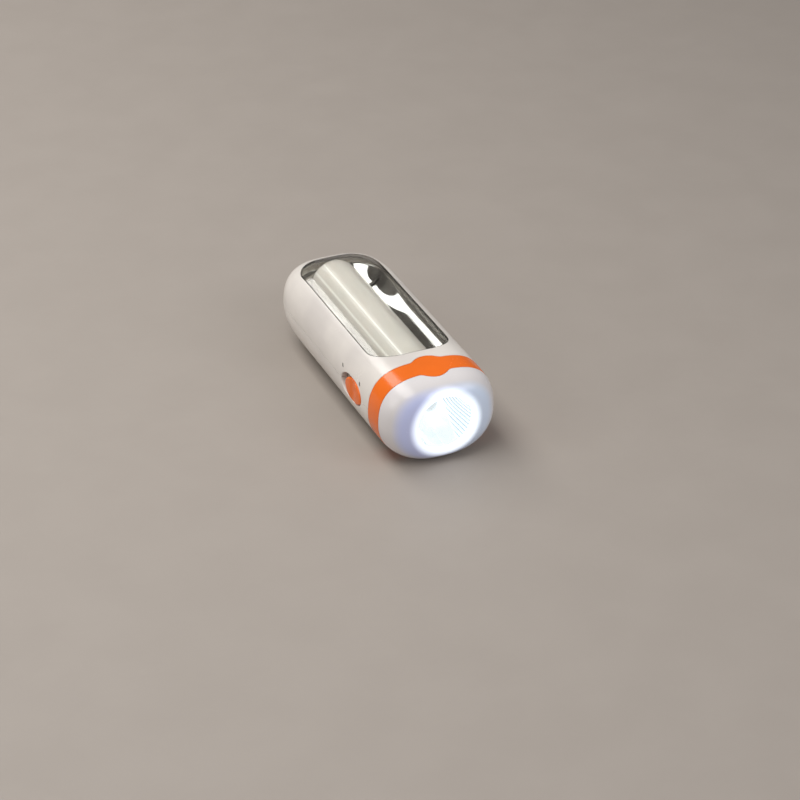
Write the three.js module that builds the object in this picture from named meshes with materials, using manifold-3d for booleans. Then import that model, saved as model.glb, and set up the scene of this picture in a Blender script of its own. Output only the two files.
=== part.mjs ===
// A hand-cranked torch with a lantern window, in millimetres, +Z up.
// The beam leaves along -Y, the slide switch is on the -X side and the crank on the +X side.
// The origin is the centre of the flat that it rests on.
import * as THREE from 'three';
import { mergeVertices } from 'three/addons/utils/BufferGeometryUtils.js';
import Module from 'manifold-3d';

const wasm = await Module();
wasm.setup();

// Clearances shared by all the pieces.
const gap = 0.3;
const parting = 0.3;
const overrun = 2;
const weld = 0.0001;

// Casing. Its cross-section is drawn round an axis that runs along Y.
const bodyLength = 190;
const halfWidth = 36.3;
const crownHeight = 27.8;
const bellyDepth = 27;
const crownPowers = { x: 3.23, z: 2.58 };
const bellyPowers = { x: 2.49, z: 2 };
const rearDomeDepth = 47.6;
const frontDomeDepth = 29.1;
const rearDomePower = 3.22;
const frontDomePower = 3.67;
const standCut = 0.6;
const wall = 2.2;
const partingHeight = 2.7;
const sectionSteps = 10;
const domeSteps = 6;
const hiddenSectionSteps = 6;
const hiddenDomeSteps = 4;

// Coloured band, and the neck of the casing that runs on under it.
const bandSetback = 31.3;
const bandWidth = 14.2;
const bandThickness = 1.7;
const bulgeReach = 4.3;
const bulgeHalfWidth = 8.9;
const bulgeArcShare = 0.86;
const bulgeSteps = 14;
const neckThickness = 2;
const neckLead = 4.3;
const neckTail = 2.6;
const bulkheadThickness = 1.8;

// Torch head.
const lensHeight = 1;
const lensRadius = 18.6;
const lensThickness = 2;
const lensSetback = 3.9;
const lensLip = 1.4;
const mouthFlare = 1.2;
const sealWidth = 1;
const sealThickness = 0.9;
const collarThickness = 1.5;
const flangeThickness = 1;
const reflectorDepth = 20;
const reflectorWall = 1.1;
const throatRadius = 4;
const fluteDepth = 0.55;
const fluteCount = 7;
const fluteSectorDegrees = 96;
const smoothSteps = 7;
const bowlSteps = 6;
const throatLength = 1.2;
const ledBoardRadius = 8;
const ledBoardThickness = 1.5;
const ledBaseRadius = 2.5;
const ledBaseHeight = 1;
const ledDomeRadius = 1.8;
const sinkRadius = 13;
const sinkThickness = 2.6;
const sinkBossRadius = 8.6;
const sinkBossLength = 3;
const sinkSlotWidth = 1.6;
const sinkSlotCount = 3;

// Lantern window, its chromed tray and the tube in it.
const windowSideSetback = 10.6;
const windowLead = 10.9;
const windowRearSetback = 13.9;
const windowCorner = 17.3;
const coverInset = 0.2;
const coverThickness = 2;
const trayWall = 1.2;
const trayClearance = 0.8;
const trayLead = 0.4;
const traySlopeWidth = 8.1;
const trayRimWidth = 0.4;
const trayRiseShares = [0, 0.1, 0.24, 0.45, 0.72, 1];
const trayInsetShares = [1, 0.66, 0.38, 0.18, 0.05, 0];
const rearInsetShare = 0.1;
const cornerSteps = 5;
const tubeMargin = 1.9;
const tubeWall = 1.3;
const tubeHeadroom = 2;
const tubeSteps = 32;
const tubeEndSteps = 6;
const tubeRearMargin = 2.3;
const tubeEndDepth = 9;
const stripSideMargin = 6;
const stripThickness = 1.6;
const stripMargin = 6;
const chipSize = 3.4;
const chipHeight = 1.4;
const chipCount = 6;

// Slide switch on the side wall. The knob rests at the front of its travel.
const knobHalfLength = 11.7;
const knobHalfHeight = 7.1;
const knobProud = 0.3;
const knobCrown = 1;
const knobClearance = 0.4;
const knobTravel = 5.4;
const plateLead = 2;
const knobSteps = 24;
const knobLayers = 3;
const knobScoopRadius = 13;
const knobScoopDepth = 1.1;
const plateSetback = 4;
const plateThickness = 1;
const plateMargin = 2;
const stemSize = 5;
const stemLength = 2;
const leverSize = 3;
const leverReach = 2.6;
const switchLength = 17;
const switchHeight = 7;
const switchDepth = 4.4;
const switchLip = 0.9;

// Control board behind the switch, held in grooved ribs.
const boardThickness = 1.6;
const boardLength = 62;
const boardLead = 3;
const boardHeight = 19.1;
const boardRise = 2.6;
const boardRibSetback = 6;
const boardRibWidth = 2;
const boardRibHalfDepth = 2.6;
const boardGrip = 3;
const chipBlock = 7;
const chipBlockHeight = 1.6;
const capacitorRadius = 4;
const capacitorHeight = 9;
const capacitorPlace = 12;

// Crank axis and its gear train. All axes run along X at one height.
const crankPlace = 17;
const frameClearance = 0.916;
const gearModule = 0.5;
const crankTeeth = 46;
const pinionTeeth = 12;
const wheelATeeth = 40;
const wheelBTeeth = 36;
const rotorTeeth = 10;
const pressureDegrees = 20;
const backlashShare = 0.14;
const wheelAddendumShare = 0.65;
const pinionAddendumShare = 0.95;
const dedendumShare = 1.2;
const bayToGearbox = 8.3;
const gearPlateThickness = 1.5;
const layerGap = 1;
const thinFace = 2.5;
const crankFace = 3;
const axleRadius = 1;
const collarRadius = 2;
const pillarRadius = 2;
const pillarOffset = 10;
const pillarMargin = 0.5;
const pillarClearance = 0.7;
const frameRearRadius = 10;
const frameEarRadius = 3.4;
const gearScrewHead = 2;
const gearScrewHeadHeight = 1.2;
const gearScrewRadius = 0.8;
const wallBossRadius = 1.8;
const wallBossClearance = 0.8;

// Generator.
const canRadius = 11;
const canLength = 15.2;
const canWall = 0.8;
const statorRadius = 7.2;
const statorLength = 10;
const airGap = 0.8;
const magnetLength = 11;
const rotorShaftRadius = 1;

// Crank shaft, bush and arm.
const shaftRadius = 3;
const squareRelief = 0.04;
const innerJournalRadius = 2.1;
const shaftCollarRadius = 3.4;
const bushWall = 1.6;
const bushFlange = 0.7;
const bushFlangeThickness = 1.2;
const bayDepth = 3.3;
const bayClearance = 1;
const armClearance = 0.4;
const armThickness = 4.5;
const armLength = 42;
const hubRadius = 8;
const hubBoss = 1.5;
const hubScrewHead = 3.4;
const hubScrewHeadHeight = 1.6;
const hubScrewRadius = 1;
const hubScrewLength = 6;
const armEndRadius = 7.5;
const armWeb = 3;

// Folding knob at the end of the arm. At rest it lies in the arm's slot.
const gripRadius = 4.5;
const gripEndRadius = 3.9;
const gripLength = 22;
const gripSteps = 6;
const slotClearance = 0.5;
const slotEndClearance = 1;
const hingeRise = 4.8;
const barrelRadius = 4;
const earRadius = 4.3;
const pinRadius = 1;
const pinHead = 1.7;
const pinHeadHeight = 0.8;
const spindleRadius = 1.5;
const spindleHead = 2.7;
const spindleHeadHeight = 1;
const spindleSink = 2.4;
const spindleRootDepth = 2;

// Battery cell and its contacts.
const cellRadius = 9.2;
const cellLength = 65;
const cellMargin = 4.8;
const cellDrop = 3.1;
const cellRearSetback = 14.5;
const cellRibWidth = 2;
const cellRibMargin = 3;
const cellRibInset = 9;
const tabRadius = 6;
const tabThickness = 0.6;
const cellNose = 2.8;
const cellNoseHeight = 1;

// Screws that hold the two shells together, driven from below.
const screwInset = 6.1;
const rearScrewInset = 7.1;
const rearScrewSetback = 22;
const frontScrewShare = 0.63;
const plateScrewClearance = 3;
const screwBossRadius = 3.4;
const screwHeadRadius = 2.5;
const screwHeadHeight = 1.8;
const screwRadius = 1.1;
const screwGrip = 13.7;
const screwBite = 6;
const postRise = 9;
const postRib = 1.6;
const roundSides = 16;
const smallSides = 8;

// Places that follow from the sizes above, in the frame of the casing's axis.
const front = -bodyLength / 2;
const rear = bodyLength / 2;
const baseHeight = standCut - bellyDepth;
const bandRear = front + bandSetback;
const bandFront = bandRear - bandWidth;
const lensFront = front + lensSetback;
const lensRear = lensFront + lensThickness;
const sealFront = lensRear + gap;
const sealRear = sealFront + sealThickness;
const bowlFront = sealRear + gap;
const bowlRear = bowlFront + reflectorDepth;
const throatEnd = bowlRear + throatLength;
const boardFace = throatEnd + gap;
const sinkFront = boardFace + ledBoardThickness + gap;
const mouthRadius = lensRadius - lensLip;
const bulkheadFront = sinkFront + sinkThickness + gap;
const neckStart = bowlFront + neckLead;
const neckEnd = bulkheadFront + bulkheadThickness + neckTail;
const windowHalfWidth = halfWidth - windowSideSetback;
const windowFront = bandRear + windowLead;
const windowRear = rear - windowRearSetback;
const trayFront = neckEnd + trayLead + trayWall;
const plateReach = knobHalfLength + knobClearance + plateMargin;
const knobCentre = neckEnd + plateLead + plateReach;
const bayFace = halfWidth - bayDepth;
const bayRadius = armLength + armEndRadius + bayClearance;
const armFace = bayFace + armClearance;
const armBack = armFace + armThickness;
const hingeX = armFace + hingeRise;
const hingeY = crankPlace + armLength;
const gearStack = 2 * gearPlateThickness + 4 * layerGap + 2 * thinFace + crankFace;
const framePlace = bayFace - wall - bayToGearbox - gearStack;
const layer3 = framePlace + gearPlateThickness + layerGap;
const layer2 = layer3 + thinFace + layerGap;
const layer1 = layer2 + thinFace + layerGap;
const outerPlate = layer1 + crankFace + layerGap;
const outerPlateEnd = outerPlate + gearPlateThickness;
const frameFrontRadius = pillarOffset + pillarRadius + pillarMargin;
const crankTip = gearModule * (crankTeeth / 2 + wheelAddendumShare);
const pillarLead = crankTip + pillarRadius + pillarClearance;
const trainRadius = Math.max(frameFrontRadius, crankTip);
const axleHeight = floorAt(outerPlateEnd) + frameClearance + trainRadius;
const trayFloor = axleHeight + trainRadius + trayClearance + trayWall;
const trayRise = crownHeight - trayFloor + wall;
const tubeFloor = trayFloor + gap;
const tubeHeight = crownHeight - coverInset - coverThickness - tubeHeadroom - tubeFloor;
const tubeRadius = windowHalfWidth - trayRimWidth - traySlopeWidth - tubeMargin;
const tubeRear = windowRear - tubeRearMargin;
const stripHalfWidth = tubeRadius - tubeWall - stripSideMargin;
const shaftSquare = shaftRadius * Math.SQRT2 - squareRelief;
const flangeRadius = shaftRadius + gap + bushWall + bushFlange;
const flangeEnd = bayFace - wall - gap;
const magnetRadius = statorRadius - airGap;
const gearAPlace = crankPlace - gearModule * (crankTeeth + pinionTeeth) / 2;
const gearBPlace = gearAPlace - gearModule * (wheelATeeth + pinionTeeth) / 2;
const rotorPlace = gearBPlace - gearModule * (wheelBTeeth + rotorTeeth) / 2;
const canEnd = framePlace - gap;
const canStart = canEnd - canLength;
const statorMiddle = (canStart + canEnd) / 2;
const plateFace = plateSetback - halfWidth;
const plateBack = plateFace + plateThickness;
const switchFace = plateBack + gap;
const switchBack = switchFace + switchDepth;
const boardPlace = switchBack + gap;
const boardFront = neckEnd + boardLead;
const boardRear = boardFront + boardLength;
const boardBottom = floorAt(boardPlace) + boardRise;
const boardTop = boardBottom + boardHeight;
const plateRear = knobCentre + knobTravel + plateReach;
const cellFront = rear - cellRearSetback - cellLength;
const cellPlace = (framePlace + cellMargin - halfWidth) / 2;
const cellHeight = axleHeight - cellDrop;
const screwHeadPlace = partingHeight - screwGrip;
const screwReach = halfWidth - screwInset;
const rearScrewPlace = rear - rearScrewSetback;
const rearScrewReach = halfWidthAt(rearScrewPlace) - rearScrewInset;
const bayEdge = crankPlace - bayRadius - wall;
const caseScrews = [
  { x: screwReach, y: bandRear + (bayEdge - bandRear) * frontScrewShare },
  { x: -screwReach, y: plateRear + screwBossRadius + plateScrewClearance },
  { x: rearScrewReach, y: rearScrewPlace },
  { x: -rearScrewReach, y: rearScrewPlace },
];

// Half the casing's width at a place along its rear dome, at the height of its axis.
function halfWidthAt(y) {
  const share = Math.max(0, y - rear + rearDomeDepth) / rearDomeDepth;
  return halfWidth * (1 - share ** rearDomePower) ** (1 / rearDomePower);
}

// Height of the lower shell's floor at a place across it.
function floorAt(x) {
  const share = Math.abs(x) / (halfWidth - wall);
  return (wall - bellyDepth) * (1 - share ** bellyPowers.x) ** (1 / bellyPowers.z);
}

// Finishes, with the colours that each piece has.
function finish(color, roughness, metalness = 0, opacity = 1) {
  return new THREE.MeshStandardMaterial({
    color, roughness, metalness, opacity, transparent: opacity < 1,
  });
}
const whiteShell = finish(0xd6cfc6, 0.25);
const orangeShell = finish(0xe3742c, 0.28);
const translucentWhite = finish(0xe0dce1, 0.3);
const clearPlastic = finish(0xeef2f4, 0.05, 0, 0.3);
const milkyPlastic = finish(0xdfd9ce, 0.35);
const chrome = finish(0xc8c8c8, 0.06, 1);
const darkPlastic = finish(0x25262a, 0.5);
const greenBoard = finish(0x1f6b45, 0.45);
const whiteBoard = finish(0xe6e8ea, 0.5);
const litLed = finish(0xf4f8ff, 0.2);
const steel = finish(0xa9abad, 0.35, 1);
const zinc = finish(0xb9bcc0, 0.4, 1);
const brass = finish(0xc49a4a, 0.35, 1);
const aluminium = finish(0xc2c5c8, 0.4, 1);
const gearPlastic = finish(0xe9e5d8, 0.4);
const copper = finish(0xb8693a, 0.4, 1);
const magnet = finish(0x4a4a4d, 0.45, 1);
const rubber = finish(0x1b1b1c, 0.8);
const cellWrap = finish(0x2f6fb0, 0.35);

// Turns a closed geometry into a solid that can be joined and cut.
function solidOf(geometry) {
  geometry.deleteAttribute('normal');
  geometry.deleteAttribute('uv');
  const merged = mergeVertices(geometry, weld);
  const index = merged.index.array;
  const triangles = [];
  for (let i = 0; i < index.length; i += 3) {
    const [a, b, c] = [index[i], index[i + 1], index[i + 2]];
    if (a !== b && b !== c && c !== a) triangles.push(a, b, c);
  }
  return new wasm.Manifold(new wasm.Mesh({
    numProp: 3,
    vertProperties: Float32Array.from(merged.attributes.position.array),
    triVerts: Uint32Array.from(triangles),
  }));
}

function geometryOf(body) {
  const mesh = body.getMesh();
  const geometry = new THREE.BufferGeometry();
  geometry.setAttribute('position', new THREE.BufferAttribute(Float32Array.from(mesh.vertProperties), 3));
  geometry.setIndex(new THREE.BufferAttribute(Uint32Array.from(mesh.triVerts), 1));
  geometry.computeVertexNormals();
  return geometry;
}

function join(...bodies) {
  return bodies.reduce((whole, next) => whole.add(next));
}

// A box between two values on each axis.
function block(x, y, z) {
  const geometry = new THREE.BoxGeometry(x[1] - x[0], y[1] - y[0], z[1] - z[0]);
  geometry.translate((x[0] + x[1]) / 2, (y[0] + y[1]) / 2, (z[0] + z[1]) / 2);
  return solidOf(geometry);
}

// A round bar along an axis; centre holds its other two coordinates, in X, Y, Z order.
function rod(axis, radius, from, to, centre, sides = roundSides, endRadius = radius) {
  const geometry = new THREE.CylinderGeometry(endRadius, radius, to - from, sides);
  const middle = (from + to) / 2;
  if (axis === 'x') geometry.rotateZ(-Math.PI / 2).translate(middle, centre[0], centre[1]);
  if (axis === 'y') geometry.translate(centre[0], middle, centre[1]);
  if (axis === 'z') geometry.rotateX(Math.PI / 2).translate(centre[0], centre[1], middle);
  return solidOf(geometry);
}

// A closed skin through rings of equal point counts, turned outwards, with flat ends.
function loft(rings) {
  const count = rings[0].length;
  const points = rings.flat();
  const centres = [rings[0], rings[rings.length - 1]].map((ring) => {
    const sum = new THREE.Vector3();
    ring.forEach((point) => sum.add(point));
    return sum.divideScalar(count);
  });
  const first = points.push(centres[0]) - 1;
  const last = points.push(centres[1]) - 1;
  let index = [];
  const top = (rings.length - 1) * count;
  for (let j = 0; j < count; j += 1) {
    const k = (j + 1) % count;
    for (let i = 0; i < top; i += count) {
      index.push(i + j, i + k, i + count + k, i + j, i + count + k, i + count + j);
    }
    index.push(first, k, j, last, top + j, top + k);
  }
  let volume = 0;
  for (let i = 0; i < index.length; i += 3) {
    const [a, b, c] = [points[index[i]], points[index[i + 1]], points[index[i + 2]]];
    volume += a.dot(new THREE.Vector3().crossVectors(b, c));
  }
  if (volume < 0) index = index.reverse();
  const geometry = new THREE.BufferGeometry();
  const places = points.flatMap((point) => point.toArray());
  geometry.setAttribute('position', new THREE.Float32BufferAttribute(places, 3));
  geometry.setIndex(index);
  return solidOf(geometry);
}

// A revolved profile of [radius, place] pairs along an axis, at the same centres as rod.
function revolve(axis, profile, centre, sides = roundSides) {
  const points = profile.map(([radius, place]) => new THREE.Vector2(radius, place));
  const geometry = new THREE.LatheGeometry(points, sides);
  if (axis === 'x') geometry.rotateZ(-Math.PI / 2).translate(0, centre[0], centre[1]);
  if (axis === 'y') geometry.translate(centre[0], 0, centre[1]);
  if (axis === 'z') geometry.rotateX(Math.PI / 2).translate(centre[0], centre[1], 0);
  return solidOf(geometry);
}

// A flat outline drawn in the Y-Z plane, extruded along X.
function extrudeX(outline, from, to) {
  const geometry = new THREE.ExtrudeGeometry(new THREE.Shape(outline), {
    depth: to - from, bevelEnabled: false, steps: 1,
  });
  const basis = new THREE.Matrix4().makeBasis(
    new THREE.Vector3(0, 1, 0), new THREE.Vector3(0, 0, 1), new THREE.Vector3(1, 0, 0),
  );
  geometry.applyMatrix4(basis).translate(from, 0, 0);
  return solidOf(geometry);
}

// A flat outline drawn in the X-Y plane, extruded along Z.
function extrudeZ(outline, from, to) {
  const geometry = new THREE.ExtrudeGeometry(new THREE.Shape(outline), {
    depth: to - from, bevelEnabled: false, steps: 1,
  });
  geometry.translate(0, 0, from);
  return solidOf(geometry);
}

// The outline round two circles, as [x, y, radius] each, with straight tangents between them.
function beltOutline(a, b, steps = smallSides) {
  const run = Math.hypot(b[0] - a[0], b[1] - a[1]);
  const heading = Math.atan2(b[1] - a[1], b[0] - a[0]);
  const spread = Math.acos((a[2] - b[2]) / run);
  const points = [];
  const arc = (circle, start, end) => {
    for (let i = 0; i <= steps; i += 1) {
      const angle = start + (end - start) * i / steps;
      points.push(new THREE.Vector2(
        circle[0] + circle[2] * Math.cos(angle), circle[1] + circle[2] * Math.sin(angle),
      ));
    }
  };
  arc(b, heading - spread, heading + spread);
  arc(a, heading + spread, heading + 2 * Math.PI - spread);
  return points;
}

// Casing form. A signed power keeps each quarter of the section on its own side.
function signedPower(value, power) {
  return Math.sign(value) * Math.abs(value) ** power;
}

function sectionRing(y, scale, inset, steps) {
  const points = [];
  for (let i = 0; i < 4 * steps; i += 1) {
    const angle = Math.PI * i / (2 * steps);
    const upper = Math.sin(angle) >= 0;
    const powers = upper ? crownPowers : bellyPowers;
    const height = (upper ? crownHeight : bellyDepth) - inset;
    points.push(new THREE.Vector3(
      scale * (halfWidth - inset) * signedPower(Math.cos(angle), 2 / powers.x),
      y,
      scale * height * signedPower(Math.sin(angle), 2 / powers.z),
    ));
  }
  return points;
}

// The whole casing form, drawn in by an inset all round. A hidden face has fewer facets.
function casingForm(inset, hidden = false) {
  const [around, along] = hidden ? [hiddenSectionSteps, hiddenDomeSteps] : [sectionSteps, domeSteps];
  const rings = [];
  const dome = (from, depth, power, steps) => {
    for (const i of steps) {
      const angle = Math.PI / 2 * i / along;
      const scale = Math.max(Math.cos(angle) ** (2 / power), weld);
      rings.push(sectionRing(from + depth * Math.sin(angle) ** (2 / power), scale, inset, around));
    }
  };
  const steps = Array.from({ length: along + 1 }, (_, i) => i);
  dome(front + frontDomeDepth, inset - frontDomeDepth, frontDomePower, [...steps].reverse());
  dome(rear - rearDomeDepth, rearDomeDepth - inset, rearDomePower, steps);
  return loft(rings);
}

const casingSpan = [-halfWidth - overrun, halfWidth + overrun];
const heightSpan = [-bellyDepth - overrun, crownHeight + overrun];
const lengthSpan = [front - overrun, rear + overrun];

// The bulge's outline across the casing: a low arc that runs out in a small fillet at each end.
const bulgeFilletShare = 1 / bulgeArcShare - bulgeArcShare;
const bulgeEnd = bulgeHalfWidth * (bulgeArcShare + bulgeFilletShare);

function bump(x) {
  const share = Math.abs(x) / bulgeHalfWidth;
  if (share <= bulgeArcShare) return 1 - share ** 2;
  return (1 - bulgeArcShare ** 2) * Math.max(0, 1 - (share - bulgeArcShare) / bulgeFilletShare) ** 2;
}

// The plan outline of the casing between two edges across it, each bulged forwards or rearwards.
function bandPlan(rearEdge, frontEdge, rearReach, frontReach) {
  const places = [casingSpan[0]];
  for (let i = 0; i <= bulgeSteps; i += 1) {
    places.push(bulgeEnd * (2 * i / bulgeSteps - 1));
  }
  places.push(casingSpan[1]);
  const near = places.map((x) => new THREE.Vector2(x, frontEdge - frontReach * bump(x)));
  const far = places.map((x) => new THREE.Vector2(x, rearEdge + rearReach * bump(x)));
  return [...near, ...far.reverse()];
}

const outerForm = casingForm(0);
const innerForm = casingForm(wall, true);
const crankAxis = [crankPlace, axleHeight];
const rotorAxis = [rotorPlace, axleHeight];
const bayCut = rod('x', bayRadius, bayFace, halfWidth + overrun, crankAxis, 4 * smallSides);
const bayWall = rod('x', bayRadius + wall, bayFace - wall, halfWidth + overrun, crankAxis, 4 * smallSides);
const standForm = block(casingSpan, lengthSpan, [-bellyDepth - overrun, baseHeight]);
const skinForm = outerForm.subtract(bayCut).subtract(standForm);
const hollowForm = innerForm.subtract(bayWall);
const splitHeight = [partingHeight - parting / 2, partingHeight + parting / 2];
const below = block(casingSpan, lengthSpan, [heightSpan[0], splitHeight[0]]);
const above = block(casingSpan, lengthSpan, [splitHeight[1], heightSpan[1]]);

// A slice of the casing form between two insets, two places along Y.
function sleeve(outerInset, innerInset, from, to) {
  const slab = block(casingSpan, [from, to], heightSpan);
  return casingForm(outerInset).subtract(casingForm(innerInset, true)).intersect(slab);
}

// The oval that the knob fills, lengthened for its travel, grown by a margin.
function knobOutline(travel, margin) {
  const points = [];
  for (let i = 0; i < knobSteps; i += 1) {
    const angle = 2 * Math.PI * (i + 1 / 2) / knobSteps;
    const shift = Math.cos(angle) > 0 ? travel : 0;
    points.push(new THREE.Vector2(
      knobCentre + shift + (knobHalfLength + margin) * Math.cos(angle),
      partingHeight + (knobHalfHeight + margin) * Math.sin(angle),
    ));
  }
  return points;
}

// Both shells share a tube wall with the neck, the bulkhead, the switch opening and the bush's hole.
function casingWall() {
  const barrel = skinForm.subtract(hollowForm)
    .intersect(block(casingSpan, [bandRear + gap / 2, lengthSpan[1]], heightSpan));
  const neckInset = bandThickness + gap;
  const neck = sleeve(neckInset, neckInset + neckThickness, neckStart, neckEnd);
  const slab = block(casingSpan, [bulkheadFront, bulkheadFront + bulkheadThickness], heightSpan);
  const bulkhead = casingForm(neckInset + neckThickness / 2).intersect(slab)
    .subtract(rod('y', sinkBossRadius + gap, front, rear, [0, lensHeight]));
  const knobHole = extrudeX(knobOutline(knobTravel, knobClearance), -halfWidth - overrun, plateFace);
  const bushHole = rod('x', shaftRadius + gap + bushWall + gap, bayFace - 2 * wall, halfWidth, crankAxis);
  const flangeSeat = rod('x', flangeRadius + gap, outerPlateEnd, flangeEnd + gap, crankAxis);
  return join(barrel, neck, bulkhead).subtract(join(knobHole, bushHole, flangeSeat));
}

// The bulge of the band cuts into the top of the casing behind it.
const bandBulgeCut = extrudeZ(
  bandPlan(bandRear + gap / 2, bandFront, bulgeReach, 0), splitHeight[1], heightSpan[1],
).intersect(casingForm(-overrun).subtract(casingForm(bandThickness + gap)));

const sharedWall = casingWall();
const boardSlot = block(
  [boardPlace - gap, boardPlace + boardThickness + gap],
  [boardFront - gap, boardRear + gap],
  [boardBottom - gap, boardTop + gap],
);

// A screw post stands off the side wall on a short rib.
function screwPost({ x, y }) {
  const height = [splitHeight[1], partingHeight + postRise];
  const side = Math.sign(x) * halfWidth;
  const rib = block([Math.min(x, side), Math.max(x, side)], [y - postRib / 2, y + postRib / 2], height);
  return rod('z', screwBossRadius, ...height, [x, y], smallSides).add(rib)
    .intersect(casingForm(wall / 2)).subtract(boardSlot);
}

function upperShell() {
  const opening = extrudeZ(windowOutline(gap / 2), trayFloor, heightSpan[1]);
  const posts = caseScrews.map(screwPost);
  const pilotEnd = partingHeight + screwBite + gap;
  const pilots = caseScrews.map(({ x, y }) => (
    rod('z', screwRadius + gap, splitHeight[1] - overrun, pilotEnd, [x, y], smallSides)
  ));
  return join(sharedWall.intersect(above), ...posts)
    .subtract(join(opening, bandBulgeCut, ...pilots));
}

// The window's plan: square at no corner, grown by a margin.
function windowOutline(margin) {
  return roundedOutline(
    [-windowHalfWidth - margin, windowHalfWidth + margin],
    [windowFront - margin, windowRear + margin],
    windowCorner + margin,
    windowCorner + margin,
  );
}

// A rectangle with round corners, each end with its own corner radius.
function roundedOutline(x, y, frontCorner, rearCorner) {
  const corners = [
    [x[1] - frontCorner, y[0] + frontCorner, frontCorner, -1],
    [x[1] - rearCorner, y[1] - rearCorner, rearCorner, 0],
    [x[0] + rearCorner, y[1] - rearCorner, rearCorner, 1],
    [x[0] + frontCorner, y[0] + frontCorner, frontCorner, 2],
  ];
  return corners.flatMap(([cx, cy, radius, quarter]) => (
    Array.from({ length: cornerSteps + 1 }, (_, i) => {
      const angle = Math.PI / 2 * (quarter + i / cornerSteps);
      return new THREE.Vector2(cx + radius * Math.cos(angle), cy + radius * Math.sin(angle));
    })
  ));
}

function lowerShell() {
  const screwBosses = caseScrews.map(({ x, y }) => (
    rod('z', screwBossRadius, heightSpan[0], splitHeight[0], [x, y], smallSides)
  ));
  const rearBoss = crankPlace + flangeRadius + wallBossClearance + wallBossRadius;
  const wallBossPlaces = [(gearAPlace + gearBPlace) / 2, rearBoss];
  const wallBosses = wallBossPlaces.map((y) => (
    rod('x', wallBossRadius, outerPlateEnd + gap, bayFace - wall / 2, [y, axleHeight], smallSides)
  ));
  const canRibs = [framePlace - canLength + wall, framePlace - 2 * wall].map((x) => block(
    [x, x + wall],
    [rotorPlace - canRadius, rotorPlace + canRadius],
    [heightSpan[0], axleHeight - canRadius / 2],
  ));
  const canSeat = rod('x', canRadius + gap, framePlace - 2 * canLength, framePlace, rotorAxis);
  const ribPlaces = [cellFront + cellRibInset, cellFront + cellLength - cellRibInset];
  const cellSpan = cellRadius + cellRibMargin;
  const cellRibs = ribPlaces.map((y) => (
    block([cellPlace - cellSpan, cellPlace + cellSpan], [y, y + cellRibWidth], [heightSpan[0], cellHeight])
  ));
  const cellSeat = rod('y', cellRadius + gap, front, rear, [cellPlace, cellHeight]);
  const boardMiddle = boardPlace + boardThickness / 2;
  const boardRibs = [boardFront + boardRibSetback, boardRear - boardRibSetback].map((y) => (
    block(
      [boardMiddle - boardRibHalfDepth, boardMiddle + boardRibHalfDepth],
      [y, y + boardRibWidth],
      [heightSpan[0], boardBottom + boardGrip],
    )
  ));
  const inner = join(...screwBosses, ...wallBosses, ...canRibs, ...cellRibs, ...boardRibs)
    .subtract(join(canSeat, cellSeat, boardSlot))
    .intersect(casingForm(wall / 2)).intersect(below);
  const screwHoles = caseScrews.map(({ x, y }) => join(
    rod('z', screwRadius + gap, heightSpan[0], splitHeight[1], [x, y], smallSides),
    rod('z', screwHeadRadius + gap, heightSpan[0], screwHeadPlace + gap, [x, y], smallSides),
  ));
  return join(sharedWall.intersect(below), inner).subtract(join(...screwHoles));
}

// Band with an oval bulge at the top, in which it reaches further both ways.
function band() {
  const ring = casingForm(0).subtract(casingForm(bandThickness));
  const topPlan = extrudeZ(
    bandPlan(bandRear - gap / 2, bandFront + gap / 2, bulgeReach, bulgeReach), splitHeight[1], heightSpan[1],
  );
  const plainPlan = block(casingSpan, [bandFront + gap / 2, bandRear - gap / 2], heightSpan);
  return ring.intersect(join(topPlan, plainPlan)).subtract(standForm);
}

// Bezel: the front of the casing, with a mouth, a lip and a collar that holds the optics.
function bezel() {
  const axis = [0, lensHeight];
  const pocketRadius = lensRadius + gap;
  const collarRadiusOuter = pocketRadius + collarThickness;
  const skin = casingForm(0).subtract(innerForm);
  const nose = rod('y', collarRadiusOuter, front, bowlFront + flangeThickness + gap, axis, 2 * roundSides)
    .intersect(casingForm(0));
  const neckSpace = casingForm(bandThickness)
    .intersect(block(casingSpan, [neckStart - gap, bandRear], heightSpan));
  const bulge = extrudeZ(
    bandPlan(bandRear, bandFront - gap / 2, 0, bulgeReach), splitHeight[1], heightSpan[1],
  );
  const behind = block(casingSpan, [bandFront - gap / 2, rear], heightSpan);
  const mouth = revolve('y', [
    [0, front - overrun], [mouthRadius + mouthFlare, front - overrun], [mouthRadius + mouthFlare, front],
    [mouthRadius, lensFront - gap], [mouthRadius, lensFront], [0, lensFront],
  ], axis, 2 * roundSides);
  const pocket = rod('y', pocketRadius, lensFront - gap, rear, axis, 2 * roundSides);
  return join(skin, nose).subtract(join(neckSpace, bulge, behind, mouth, pocket, standForm));
}

// Reflector bowl, with radial flutes in its left and right walls only.
function reflectorAngles() {
  const half = THREE.MathUtils.degToRad(fluteSectorDegrees / 2);
  const places = [];
  for (const side of [0, Math.PI]) {
    for (let i = 0; i <= 2 * fluteCount; i += 1) {
      places.push({ angle: side - half + i * half / fluteCount, fluted: i % 2 === 1 });
    }
    for (let i = 1; i < smoothSteps; i += 1) {
      places.push({ angle: side + half + i * (Math.PI - 2 * half) / smoothSteps, fluted: false });
    }
  }
  return places;
}

function bowlRadius(share) {
  return Math.sqrt(throatRadius ** 2 + share * (mouthRadius ** 2 - throatRadius ** 2));
}

function flutedRings() {
  const angles = reflectorAngles();
  const rings = [];
  for (let i = 0; i <= bowlSteps; i += 1) {
    const share = i / bowlSteps;
    rings.push(angles.map(({ angle, fluted }) => {
      const radius = bowlRadius(share) - (fluted ? fluteDepth * Math.sqrt(share) : 0);
      return new THREE.Vector3(
        radius * Math.cos(angle), bowlRear - share * reflectorDepth, lensHeight + radius * Math.sin(angle),
      );
    }));
  }
  return rings;
}

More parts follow.
